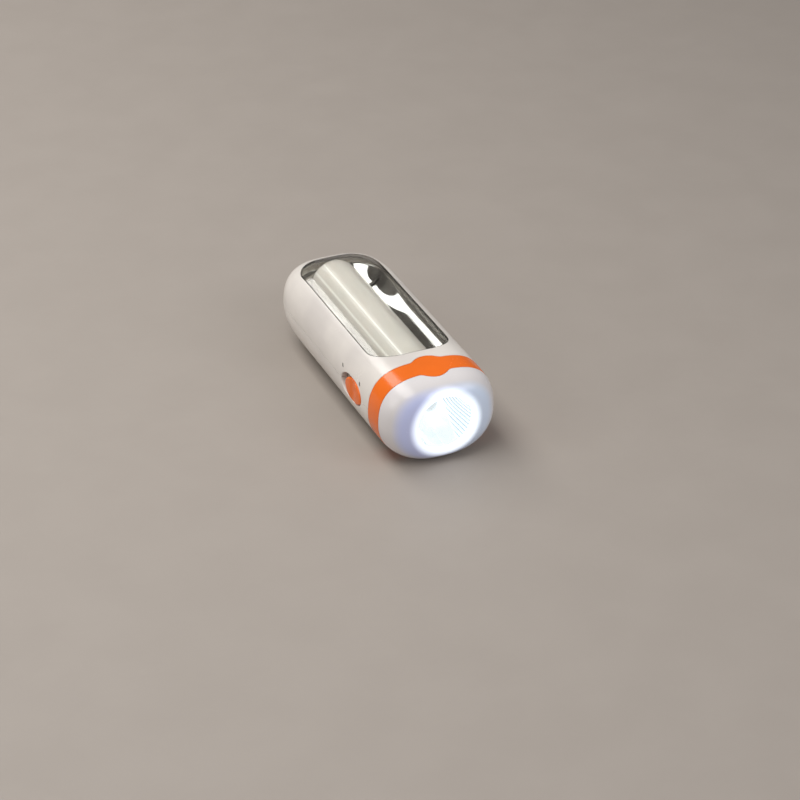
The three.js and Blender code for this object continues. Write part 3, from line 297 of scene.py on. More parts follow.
def combine(body: Body, joining: Joining, *tools: Body) -> Body:
    """Joins tools to a body, cuts them out of it, or keeps what lies inside them.

    Args:
        body: Body that is changed.
        joining: What the tools do.
        *tools: Bodies that are used up.

    Returns:
        The changed body.
    """
    for tool in tools:
        focus(body)
        modifier = body.modifiers.new("joining", "BOOLEAN")
        modifier.operation = joining.value
        modifier.solver = "MANIFOLD"
        modifier.object = tool
        bpy.ops.object.modifier_apply(modifier=modifier.name)
        mesh = tool.data
        bpy.data.objects.remove(tool)
        bpy.data.meshes.remove(mesh)
        if not body.data.polygons:
            raise ValueError(f"nothing is left of {body.name} after {joining.name}")
    return body


def twin(body: Body) -> Body:
    """Copies a body with a mesh of its own.

    Args:
        body: The body to copy.

    Returns:
        The copy.
    """
    copy = body.copy()
    copy.data = body.data.copy()
    bpy.context.scene.collection.objects.link(copy)
    return copy


def round_edges(body: Body, radius: float, steps: int, chosen: Callable[[Vector, Vector], bool]) -> Body:
    """Rounds the edges of a body that a test on their two ends picks.

    Args:
        body: Body that is changed.
        radius: Width of the rounding.
        steps: Segments of the rounding.
        chosen: Test on the two ends, in millimetres from the casing's axis.

    Returns:
        The changed body.
    """
    focus(body)
    lift = Vector((0, 0, AXIS_HEIGHT))
    bpy.ops.object.mode_set(mode="EDIT")
    bpy.ops.mesh.select_mode(type="EDGE")
    bpy.ops.mesh.select_all(action="DESELECT")
    bpy.ops.object.mode_set(mode="OBJECT")
    places = [vertex.co / MM - lift for vertex in body.data.vertices]
    for edge in body.data.edges:
        edge.select = chosen(*(places[i] for i in edge.vertices))
    bpy.ops.object.mode_set(mode="EDIT")
    bpy.ops.mesh.bevel(offset=radius * MM, segments=steps, affect="EDGES", clamp_overlap=True)
    bpy.ops.mesh.select_mode(type="VERT")
    bpy.ops.object.mode_set(mode="OBJECT")
    return body


def hand_over(piece: Body, name: str, body: str, slot: str, finish: "Finish", *nodes: str) -> Body:
    """Names a finished piece, dresses it, lets it ride on its body and reports it.

    Args:
        piece: The finished piece.
        name: Name that it gets.
        body: CAD body that it moves with.
        slot: Material slot of the record; not used.
        finish: Finish that it gets.
        *nodes: CAD nodes that it stands for.

    Returns:
        The piece.
    """
    focus(piece)
    bpy.ops.object.shade_smooth_by_angle(angle=SMOOTH_ANGLE)
    piece.name = piece.data.name = name
    piece.data.materials.clear()
    piece.data.materials.append(finish.material())
    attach(piece, body)
    if nodes:
        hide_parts(*nodes)
    LOG.info("%s: %d faces on body %s", name, len(piece.data.polygons), body)
    return piece


def dress(finish: "Finish", *nodes: str) -> None:
    """Gives CAD nodes that keep their shape a finish.

    Args:
        finish: Finish that they get.
        *nodes: Names of the nodes.
    """
    for name in nodes:
        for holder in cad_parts[name].material_slots:
            holder.material = finish.material()
        LOG.info("%s: dressed as %s", name, finish.name)


# Node tools


def linear(colour: Colour) -> Quad:
    """Turns a colour of 0 to 255, as seen on a screen, into a shader's colour."""
    parts = [value / 255 for value in colour]
    return (*(v / 12.92 if v <= 0.04045 else ((v + 0.055) / 1.055) ** 2.4 for v in parts), 1.0)


def shaded(colour: Colour, factor: float) -> Colour:
    """Darkens or lightens a colour by a factor."""
    return tuple(min(255, round(value * factor)) for value in colour)


class Graph:
    """A node tree, with short calls that add and link its nodes."""

    def __init__(self, tree: bpy.types.NodeTree) -> None:
        """Keeps the tree."""
        self.tree = tree

    def add(self, kind: str, inputs: Mapping[str | int, Any] | None = None, **settings: Any) -> Any:
        """Adds a node.

        Args:
            kind: The node's type, without the words ShaderNode.
            inputs: Value or socket for each named or numbered input.
            **settings: Properties of the node.

        Returns:
            The node.
        """
        node = self.tree.nodes.new(f"ShaderNode{kind}")
        for key, value in settings.items():
            setattr(node, key, value)
        for key, value in (inputs or {}).items():
            if isinstance(value, Socket):
                self.tree.links.new(value, node.inputs[key])
            else:
                node.inputs[key].default_value = value
        return node

    def math(self, operation: str, *values: float | Socket, clamp: bool = False) -> Socket:
        """Adds a Math node and gives its result."""
        return self.add("Math", dict(enumerate(values)), operation=operation, use_clamp=clamp).outputs[0]

    def blend(self, share: Socket, first: Any, second: Any) -> Socket:
        """Mixes two colours by a share that changes over the surface."""
        inputs = {0: share, 6: first, 7: second}
        return self.add("Mix", inputs, data_type="RGBA", clamp_factor=True).outputs[2]

    def ramp(self, value: Socket, start: float, end: float, low: float = 0.0, high: float = 1.0) -> Socket:
        """Maps a range of a value smoothly onto another range.

        Args:
            value: Value to map.
            start: Value that gives low.
            end: Value that gives high.
            low: Result at the start.
            high: Result at the end.

        Returns:
            The mapped value.
        """
        inputs = {0: value, 1: start, 2: end, 3: low, 4: high}
        return self.add("MapRange", inputs, interpolation_type="SMOOTHSTEP").outputs[0]

    def fade(self, value: Socket, start: float, end: float, low: float = 0.0, high: float = 1.0) -> Socket:
        """Maps a range as ramp does, with its start and end in millimetres."""
        return self.ramp(value, start * MM, end * MM, low, high)

    def noise(self, place: Socket, scale: Any, detail: float, distortion: float = 0.0) -> Socket:
        """Adds a noise texture and gives its value."""
        inputs = {"Vector": place, "Scale": scale, "Detail": detail, "Distortion": distortion}
        return self.add("TexNoise", inputs).outputs[0]

    def hypot(self, first: Socket, second: Socket) -> Socket:
        """Gives the length of two parts at right angles."""
        squares = (self.math("MULTIPLY", part, part) for part in (first, second))
        return self.math("SQRT", self.math("ADD", *squares))

    def places(self) -> Socket:
        """Gives the place on the piece, in metres."""
        return self.add("TexCoord").outputs["Object"]

    def parts(self) -> list[Socket]:
        """Gives the three parts of the place on the piece, in metres."""
        return list(self.add("SeparateXYZ", {0: self.places()}).outputs)

    def from_lamp(self) -> tuple[Socket, Socket, Socket]:
        """Gives the place across, along and above the lamp's axis, in metres."""
        x, y, z = self.parts()
        return x, y, self.math("SUBTRACT", z, (LENS_HEIGHT + AXIS_HEIGHT) * MM)


class Effect(Enum):
    """The shared surface effects, each a node group that is built once."""

    GRAIN = "moulded grain"
    HANDLING = "handling marks"
    TOOLING = "tooling lines"

    def tree(self) -> bpy.types.NodeTree:
        """Builds the effect's node group at its first use.

        Returns:
            The node group.
        """
        found = bpy.data.node_groups.get(self.value)
        if found is not None:
            return found
        tree = bpy.data.node_groups.new(self.value, "ShaderNodeTree")
        tree.interface.new_socket("Place", in_out="INPUT", socket_type="NodeSocketVector")
        makers = {
            Effect.GRAIN: moulded_grain, Effect.HANDLING: handling_marks, Effect.TOOLING: tooling_lines,
        }
        makers[self](tree)
        return tree


def group_ends(
    tree: bpy.types.NodeTree, sizes: Mapping[str, float], results: Sequence[str]
) -> tuple[Graph, Any, Any]:
    """Opens a node group with a place, named sizes and named results.

    Args:
        tree: The node group.
        sizes: Name and first value of each number that it takes.
        results: Names of the values that it gives.

    Returns:
        Its graph, its input node and its output node.
    """
    for name, value in sizes.items():
        socket = tree.interface.new_socket(name, in_out="INPUT", socket_type="NodeSocketFloat")
        socket.default_value = value
    for name in results:
        tree.interface.new_socket(name, in_out="OUTPUT", socket_type="NodeSocketFloat")
    graph = Graph(tree)
    return graph, tree.nodes.new("NodeGroupInput"), tree.nodes.new("NodeGroupOutput")


def moulded_grain(tree: bpy.types.NodeTree) -> None:
    """Fills the group for moulded plastic: a fine orange peel, a slow drift of tone and of gloss.

    Args:
        tree: The node group.
    """
    graph, start, end = group_ends(tree, {"Fineness": 900.0, "Drift": 30.0}, ["Height", "Tone", "Gloss"])
    place, fineness = start.outputs["Place"], start.outputs["Fineness"]
    peel = graph.noise(place, fineness, 2.0)
    slow = graph.noise(place, start.outputs["Drift"], 3.0)
    pits = graph.add("TexVoronoi", {"Vector": place, "Scale": fineness})
    pitted = graph.ramp(pits.outputs["Distance"], 0.0, 0.35)
    height = graph.math("MULTIPLY_ADD", pitted, 0.25, graph.math("MULTIPLY", peel, 0.75))
    tree.links.new(height, end.inputs["Height"])
    tree.links.new(graph.ramp(slow, 0.3, 0.7), end.inputs["Tone"])
    tree.links.new(graph.ramp(peel, 0.3, 0.75), end.inputs["Gloss"])


def handling_marks(tree: bpy.types.NodeTree) -> None:
    """Fills the group for use: hairline scratches and soft smudges.

    Args:
        tree: The node group.
    """
    graph, start, end = group_ends(tree, {"Density": 60.0, "Smudges": 25.0}, ["Scratches", "Smears"])
    place = start.outputs["Place"]
    hairs = []
    for turn, stretch in ((0.4, (1.0, 26.0, 1.0)), (1.9, (24.0, 1.0, 3.0))):
        turned = graph.add("Mapping", {"Vector": place, "Rotation": (turn, turn / 2, turn), "Scale": stretch})
        noise = graph.noise(turned.outputs[0], start.outputs["Density"], 1.0)
        hairs.append(graph.ramp(noise, 0.7, 0.76))
    smears = graph.noise(place, start.outputs["Smudges"], 4.0, 0.8)
    tree.links.new(graph.math("MAXIMUM", *hairs), end.inputs["Scratches"])
    tree.links.new(graph.ramp(smears, 0.45, 0.72), end.inputs["Smears"])


def tooling_lines(tree: bpy.types.NodeTree) -> None:
    """Fills the group for worked metal: fine lines drawn out along Y, and a dull bloom.

    Args:
        tree: The node group.
    """
    graph, start, end = group_ends(tree, {"Lines": 400.0, "Bloom": 150.0}, ["Height", "Tone"])
    place = start.outputs["Place"]
    drawn = graph.add("Mapping", {"Vector": place, "Scale": (1.0, 0.04, 1.0)})
    lines = graph.noise(drawn.outputs[0], start.outputs["Lines"], 3.0)
    bloom = graph.noise(place, start.outputs["Bloom"], 3.0)
    tree.links.new(lines, end.inputs["Height"])
    tree.links.new(graph.ramp(bloom, 0.3, 0.7), end.inputs["Tone"])


# Finishes


@dataclass(frozen=True)
class Finish:
    """A surface of one material. Subclasses say how it is made up."""

    name: str
    colour: Colour
    roughness: float = 0.3
    edge: float = 0.25
    relief: float = 0.04
    extras: Mapping[str, Any] = field(default_factory=dict, hash=False)
    made: ClassVar[dict[str, bpy.types.Material]] = {}

    def material(self) -> bpy.types.Material:
        """Makes the material at its first use.

        Returns:
            The material.
        """
        if self.name not in self.made:
            material = bpy.data.materials.new(self.name)
            material.use_nodes = True
            material.node_tree.nodes.clear()
            graph = Graph(material.node_tree)
            shader = graph.add("BsdfPrincipled", {**self.inputs(graph), **self.extras})
            graph.add("OutputMaterial", {"Surface": self.surface(graph, shader.outputs[0])})
            self.made[self.name] = material
        return self.made[self.name]

    def inputs(self, graph: Graph) -> dict[str, Any]:
        """Gives what feeds the shader. Each subclass has its own."""
        raise NotImplementedError

    def surface(self, graph: Graph, shader: Socket) -> Socket:
        """Gives what the material shows. Most finishes show their shader as it is."""
        return shader

    def tones(self, swing: float) -> list[Any]:
        """Gives the colour darkened and lightened by a share."""
        return [linear(shaded(self.colour, 1 + side * swing)) for side in (-1, 1)]

    def effect(self, graph: Graph, effect: Effect, **sizes: float) -> Any:
        """Places a shared effect in the material, with this finish's own sizes.

        Args:
            graph: The material's graph.
            effect: The shared effect.
            **sizes: Values of its named inputs.

        Returns:
            The outputs of the group's node.
        """
        node = graph.add("Group", node_tree=effect.tree())
        graph.tree.links.new(graph.places(), node.inputs["Place"])
        for name, value in sizes.items():
            node.inputs[name].default_value = value
        return node.outputs

    def normal(self, graph: Graph, height: Socket) -> Socket:
        """Gives the surface's normal: soft edges and a fine relief.

        Args:
            graph: The material's graph.
            height: Height of the relief.

        Returns:
            The normal.
        """
        soft = graph.add("Bevel", {"Radius": self.edge * MM}, samples=4)
        bump = graph.add("Bump", {
            "Strength": self.relief, "Distance": 0.1 * MM, "Height": height, "Normal": soft.outputs[0],
        })
        return bump.outputs[0]


@dataclass(frozen=True)
class Moulded(Finish):
    """Moulded plastic: orange peel, a slow drift of tone, hairline scratches and smudges."""

    fineness: float = 900.0
    drift: float = 0.035
    gloss_swing: float = 0.06
    smear: float = 0.07
    wear: float = 0.05

    def inputs(self, graph: Graph) -> dict[str, Any]:
        """Gives colour, roughness and normal of the plastic.

        Args:
            graph: The material's graph.

        Returns:
            What feeds each of the shader's inputs.
        """
        grain = self.effect(graph, Effect.GRAIN, Fineness=self.fineness, Drift=22.0)
        use = self.effect(graph, Effect.HANDLING, Density=70.0, Smudges=35.0)
        rough = graph.math(
            "MULTIPLY_ADD", grain["Gloss"], self.gloss_swing, self.roughness - self.gloss_swing / 2
        )
        rough = graph.math("MULTIPLY_ADD", use["Smears"], self.smear, rough)
        rough = graph.math("MULTIPLY_ADD", use["Scratches"], self.wear, rough, clamp=True)
        return {
            "Base Color": self.paint(graph, graph.blend(grain["Tone"], *self.tones(self.drift))),
            "Roughness": rough,
            "Normal": self.normal(graph, grain["Height"]),
        }

    def paint(self, graph: Graph, colour: Socket) -> Socket:
        """Gives the colour with what is printed on it. Plain plastic has nothing."""
        return colour


@dataclass(frozen=True)
class Printed(Moulded):
    """Moulded plastic with two small printed marks over the slide switch."""

    ink: Colour = (74, 68, 66)
    marks: tuple[Pair, ...] = ((-48.6, 11.4), (-23.6, 10.9))  # along and up
    mark_half_width: float = 0.85
    mark_half_height: float = 1.1
    mark_slant: float = 0.7
    side: Pair = (-30.0, -31.0)  # where the left side begins

    def paint(self, graph: Graph, colour: Socket) -> Socket:
        """Gives the colour with the marks on the side of the switch.

        Args:
            graph: The material's graph.
            colour: The plain colour.

        Returns:
            The colour to show.
        """
        x, y, z = graph.parts()
        side = graph.fade(x, *self.side)
        for along, height in self.marks:
            rise = graph.math("SUBTRACT", z, (height + AXIS_HEIGHT) * MM)
            across = graph.math("SUBTRACT", graph.math("SUBTRACT", y, along * MM),
                                graph.math("MULTIPLY", rise, self.mark_slant))
            across, up = graph.math("ABSOLUTE", across), graph.math("ABSOLUTE", rise)
            near = graph.math("MULTIPLY", side, graph.math("MULTIPLY", *(
                graph.fade(reach, limit, 0.7 * limit)
                for reach, limit in ((across, self.mark_half_width), (up, self.mark_half_height))
            )))
            colour = graph.blend(near, colour, linear(self.ink))
        return colour


@dataclass(frozen=True)
class LampGlow(Moulded):
    """Translucent plastic round the lit lamp, with its light painted on: a painted white halo glowing at the
    mouth, and a painted bluish ring of scattered light round it, lighter on the right.
    """

    # Painted light: from here forwards the front face is tinted bluish, as if lit by the lamp from inside.
    glow_ring_edge: Pair = (-87.2, -92.4)  # along
    halo: Pair = (24.0, 18.0)  # distances from the lamp's axis
    # Painted glow: the bezel is no lamp; white is its glow in the halo round the mouth, faint its glow
    # further out.
    white: Colour = (236, 244, 252)
    faint: Colour = (26, 30, 38)
    # Painted light: the ring's tint is lighter on the right, where more light falls.
    left: Colour = (198, 205, 242)
    right: Colour = (220, 234, 254)
    sides: Pair = (-20.0, 24.0)  # across, from the left tint to the right one

    def paint(self, graph: Graph, colour: Socket) -> Socket:
        """Gives the colour with the painted bluish ring of the lamp's scattered light on the front face.

        Args:
            graph: The material's graph.
            colour: The plain colour.

        Returns:
            The colour to show.
        """
        x, y, _ = graph.parts()
        # painted light: bluish ring of the lamp's scattered light, lighter towards the right
        ring_glow = graph.blend(graph.fade(x, *self.sides), linear(self.left), linear(self.right))
        return graph.blend(graph.fade(y, *self.glow_ring_edge), colour, ring_glow)

    def inputs(self, graph: Graph) -> dict[str, Any]:
        """Gives the plastic's inputs and a painted glow of the lamp's light, white in the halo and faint
        beyond.

        Args:
            graph: The material's graph.

        Returns:
            What feeds each of the shader's inputs.
        """
        across, _, up = graph.from_lamp()
        near = graph.fade(graph.hypot(across, up), *self.halo)
        return {
            **super().inputs(graph),
            "Emission Color": graph.blend(near, linear(self.faint), linear(self.white)),
            "Emission Strength": 0.9,
        }


@dataclass(frozen=True)
class Clear(Finish):
    """Clear plastic with faint smudges. Painted shade may run round a window's edge, for the dark gap between
    the lid and the shell.
    """

    # rim: colour of the painted shade of the gap round a window; None leaves it out
    rim: Colour | None = None
    gap_shade_width: float = 0.3
    gap_shade_fade: float = 0.1
    smear: float = 0.03
    wear: float = 0.1

    def inputs(self, graph: Graph) -> dict[str, Any]:
        """Gives roughness and normal, and the colour with the painted shade at the edge.

        Args:
            graph: The material's graph.

        Returns:
            What feeds each of the shader's inputs.
        """
        use = self.effect(graph, Effect.HANDLING, Density=90.0, Smudges=40.0)
        rough = graph.math("MULTIPLY_ADD", use["Smears"], self.smear, self.roughness)
        rough = graph.math("MULTIPLY_ADD", use["Scratches"], self.wear, rough)
        return {
            "Base Color": linear(self.colour) if self.rim is None else self.with_gap_shade(graph),
            "Roughness": rough,
            "Transmission Weight": 1.0,
            "IOR": 1.45,
            "Normal": self.normal(graph, use["Smears"]),
        }

    def surface(self, graph: Graph, shader: Socket) -> Socket:
        """Lets the lamps' light through to what lies behind the clear plastic.

        Args:
            graph: The material's graph.
            shader: The clear plastic's shader.

        Returns:
            The shader, mixed with plain transparency for light on its way from a lamp.
        """
        path = graph.add("LightPath").outputs["Is Shadow Ray"]
        open_way = graph.add("BsdfTransparent", {"Color": (0.9, 0.9, 0.9, 1.0)}).outputs[0]
        return graph.add("MixShader", {0: path, 1: shader, 2: open_way}).outputs[0]

    def with_gap_shade(self, graph: Graph) -> Socket:
        """Gives the clear colour with painted shade of the gap along its edge, by the distance from the
        window's round outline.

        Args:
            graph: The material's graph.

        Returns:
            The colour.
        """
        half_width, front, rear, corner = WINDOW_PLAN
        middle, half_length = (front + rear) / 2, (rear - front) / 2
        x, y, _ = graph.parts()
        across = graph.math("SUBTRACT", graph.math("ABSOLUTE", x), (half_width - corner) * MM)
        along = graph.math("ABSOLUTE", graph.math("SUBTRACT", y, middle * MM))
        along = graph.math("SUBTRACT", along, (half_length - corner) * MM)
        over = [graph.math("MAXIMUM", part, 0.0) for part in (across, along)]
        inside = graph.math("MINIMUM", graph.math("MAXIMUM", across, along), 0.0)
        radius = (corner - GAP / 2) * MM
        distance = graph.math("SUBTRACT", graph.math("ADD", graph.hypot(*over), inside), radius)
        # painted shade: the lid darkens towards its edge, where the gap to the shell lies
        dark = graph.fade(distance, -(self.gap_shade_width + self.gap_shade_fade), -self.gap_shade_width)
        return graph.blend(dark, linear(self.colour), linear(self.rim))


@dataclass(frozen=True)
class Milky(Moulded):
    """Milky plastic that light passes through softly, with two fine painted highlights along it, for the
    lamps' reflections.
    """

    # Painted highlights: places across of two lighter lines, and their colour, for the lamps' reflections on
    # the tube.
    lines: Pair = (-6.9, -12.2)
    highlight_half_width: float = 0.75
    pale: Colour = (242, 239, 231)

    def paint(self, graph: Graph, colour: Socket) -> Socket:
        """Gives the colour with the two painted highlight lines.

        Args:
            graph: The material's graph.
            colour: The plain colour.

        Returns:
            The colour to show.
        """
        x, _, _ = graph.parts()
        # painted highlight lines along the tube
        for place in self.lines:
            reach = graph.math("ABSOLUTE", graph.math("SUBTRACT", x, place * MM))
            near = graph.fade(reach, self.highlight_half_width, 0.0)
            colour = graph.blend(near, colour, linear(self.pale))
        return colour

    def inputs(self, graph: Graph) -> dict[str, Any]:
        """Gives the plastic's inputs with light under its surface."""
        return {
            **super().inputs(graph),
            "Subsurface Weight": 0.25,
            "Subsurface Radius": (1.0, 0.9, 0.8),
            "Subsurface Scale": 0.8 * MM,
        }


@dataclass(frozen=True)
class Metal(Finish):
    """Worked or plated metal with tooling lines, a dull bloom and hairline scratches."""

    lines: float = 400.0
    bloom: float = 0.08
    gloss_swing: float = 0.08
    wear: float = 0.12

    def inputs(self, graph: Graph) -> dict[str, Any]:
        """Gives colour, roughness and normal of the metal.

        Args:
            graph: The material's graph.

        Returns:
            What feeds each of the shader's inputs.
        """
        tooling = self.effect(graph, Effect.TOOLING, Lines=self.lines, Bloom=180.0)
        use = self.effect(graph, Effect.HANDLING, Density=160.0, Smudges=90.0)
        rough = graph.math(
            "MULTIPLY_ADD", tooling["Tone"], self.gloss_swing, self.roughness - self.gloss_swing / 2
        )
        rough = graph.math("MULTIPLY_ADD", use["Scratches"], self.wear, rough, clamp=True)
        return {
            "Base Color": graph.blend(tooling["Tone"], *self.tones(self.bloom)),
            "Roughness": rough,
            "Metallic": 1.0,
            "Normal": self.normal(graph, tooling["Height"]),
        }


@dataclass(frozen=True)
class LitBowl(Metal):
    """Chromed bowl round the lit lamp, with the lamp's reflected light painted on as a glow, and painted
    shade in the grooves between its ribs.
    """

    # Painted light: white is the painted glow of the lamp's reflected light, groove the painted shade between
    # the ribs; the glow grows from the first place along to the second.
    white: Colour = (250, 254, 255)
    groove: Colour = (60, 108, 142)
    depth: Pair = (-80.0, -70.0)  # along
    glow_strengths: Pair = (0.52, 0.92)
    rib_fade: float = 0.3

    def inputs(self, graph: Graph) -> dict[str, Any]:
        """Gives the chrome's inputs, with the lamp's reflected light painted on as a glow and painted shade
        in the grooves.

        Args:
            graph: The material's graph.

        Returns:
            What feeds each of the shader's inputs.
        """
        across, along, up = graph.from_lamp()
        turn = graph.math("ARCTAN2", up, across)
        wave = graph.math("COSINE", graph.math("MULTIPLY", turn, float(RIBS)))
        ribbed = graph.fade(graph.math("ABSOLUTE", across), RIBBED_FROM, RIBBED_FROM + self.rib_fade)
        # painted shade: the grooves between the ribs stay darker
        dark = graph.math("MULTIPLY", ribbed, graph.ramp(wave, 0.2, 1.0))
        # painted glow of the lamp's reflected light, stronger deeper in the bowl
        return {
            **super().inputs(graph),
            "Emission Color": graph.blend(dark, linear(self.white), linear(self.groove)),
            "Emission Strength": graph.fade(along, *self.depth, *self.glow_strengths),
        }


@dataclass(frozen=True)
class Lit(Finish):
    """A lamp's own body, lit, its light's tone drifting slightly over it."""

    strength: float = 3.0

    def inputs(self, graph: Graph) -> dict[str, Any]:
        """Gives the lamp's colour and light.

        Args:
            graph: The material's graph.

        Returns:
            What feeds each of the shader's inputs.
        """
        grain = self.effect(graph, Effect.GRAIN, Fineness=1500.0, Drift=400.0)
        return {
            "Base Color": linear(self.colour),
            "Roughness": graph.math("MULTIPLY_ADD", grain["Gloss"], 0.05, self.roughness),
            "Emission Color": graph.blend(
                grain["Tone"], linear(shaded(self.colour, 0.9)), linear(self.colour)
            ),
            "Emission Strength": self.strength,
        }


@dataclass(frozen=True)
class Board(Moulded):
    """Circuit board: lacquer over a weave, with a pattern of tracks."""

    tracks: Colour = (48, 128, 84)

    def paint(self, graph: Graph, colour: Socket) -> Socket:
        """Gives the lacquer's colour with its tracks.

        Args:
            graph: The material's graph.
            colour: The plain colour.

        Returns:
            The colour to show.
        """
        cells = graph.add("TexVoronoi", {"Vector": graph.places(), "Scale": 420.0},
                          distance="CHEBYCHEV", feature="F1")
        lines = graph.ramp(cells.outputs["Distance"], 0.52, 0.6)
        return graph.blend(lines, colour, linear(self.tracks))


@dataclass(frozen=True)
class Winding(Metal):
    """Enamelled wire, laid in close turns."""

    wire: float = 0.35

    def normal(self, graph: Graph, height: Socket) -> Socket:
        """Gives the normal of close turns of wire round the X axis.

        Args:
            graph: The material's graph.
            height: Height of the tooling lines, which the wire hides; not used.

        Returns:
            The normal.
        """
        x, _, _ = graph.parts()
        turns = graph.math("SINE", graph.math("MULTIPLY", x, FULL_TURN / (self.wire * MM)))
        bump = graph.add("Bump", {"Strength": 0.7, "Distance": 0.1 * MM, "Height": turns})
        return bump.outputs[0]


WHITE = Printed("warm white gloss shell", (220, 215, 209), 0.2)
ARM_WHITE = Moulded("warm white gloss arm", (220, 215, 209), 0.24)
ORANGE = Moulded("orange gloss plastic", (236, 112, 34), 0.2, drift=0.03)
# Painted light: BEZEL and BOWL glow with the lamp's light painted on, BOWL has painted shade in its grooves,
# WINDOW's rim is painted shade of the gap round the lid, and MILKY has painted highlight lines.
BEZEL = LampGlow("translucent white bezel", (220, 216, 215), 0.2, drift=0.015)
WINDOW = Clear("clear window", (246, 249, 248), 0.02, relief=0.01, rim=(96, 92, 88))
LENS = Clear("clear lens", (244, 250, 252), 0.02, relief=0.01)
CHROME = Metal("chromed tray", (208, 206, 202), 0.07, relief=0.015, lines=120.0, bloom=0.03)
BOWL = LitBowl("chromed lamp bowl", (214, 218, 222), 0.08, relief=0.015, lines=120.0, bloom=0.02)
MILKY = Milky("milky diffuser", (212, 206, 197), 0.14, drift=0.012)
LED = Lit("lit lamp", (247, 250, 255), 0.2)
DARK = Moulded("dark engineering plastic", (38, 38, 41), 0.45, relief=0.2, fineness=1400.0)
# Painted glow: the lens seal and the lamp's board are no lamps; this emission stands in for the lamp's light
# falling on them.
GLOW = {"Emission Color": linear((244, 250, 255)), "Emission Strength": 0.75}
SEAL = Moulded("lit silicone seal", (222, 225, 228), 0.5, relief=0.2, extras=GLOW, fineness=1200.0)
PLATE = Moulded("warm grey slide plate", (164, 156, 147), 0.4, relief=0.1)
GEAR_PLASTIC = Moulded("ivory gear plastic", (232, 228, 214), 0.38, relief=0.1)
STRIP = Board("white lamp board", (226, 229, 231), 0.4, tracks=(206, 210, 212))
LIT_STRIP = Board("lit lamp board", (226, 229, 231), 0.4, tracks=(206, 210, 212), extras=GLOW)
CIRCUIT = Board("green circuit board", (28, 98, 62), 0.35)
WRAP = Moulded("blue cell wrap", (44, 104, 170), 0.3, relief=0.08, drift=0.06)
STEEL = Metal("bright steel", (172, 174, 177), 0.3, relief=0.2)
ZINC = Metal("zinc plate", (184, 187, 190), 0.38, relief=0.15, bloom=0.12)
BRASS = Metal("turned brass", (196, 156, 82), 0.32, relief=0.2)
ALUMINIUM = Metal("cast aluminium", (192, 195, 198), 0.42, relief=0.3, lines=900.0)
MAGNET = Metal("sintered magnet", (78, 78, 82), 0.5, relief=0.3, lines=1200.0)
COPPER = Winding("enamelled copper wire", (184, 104, 56), 0.3)


# Casing


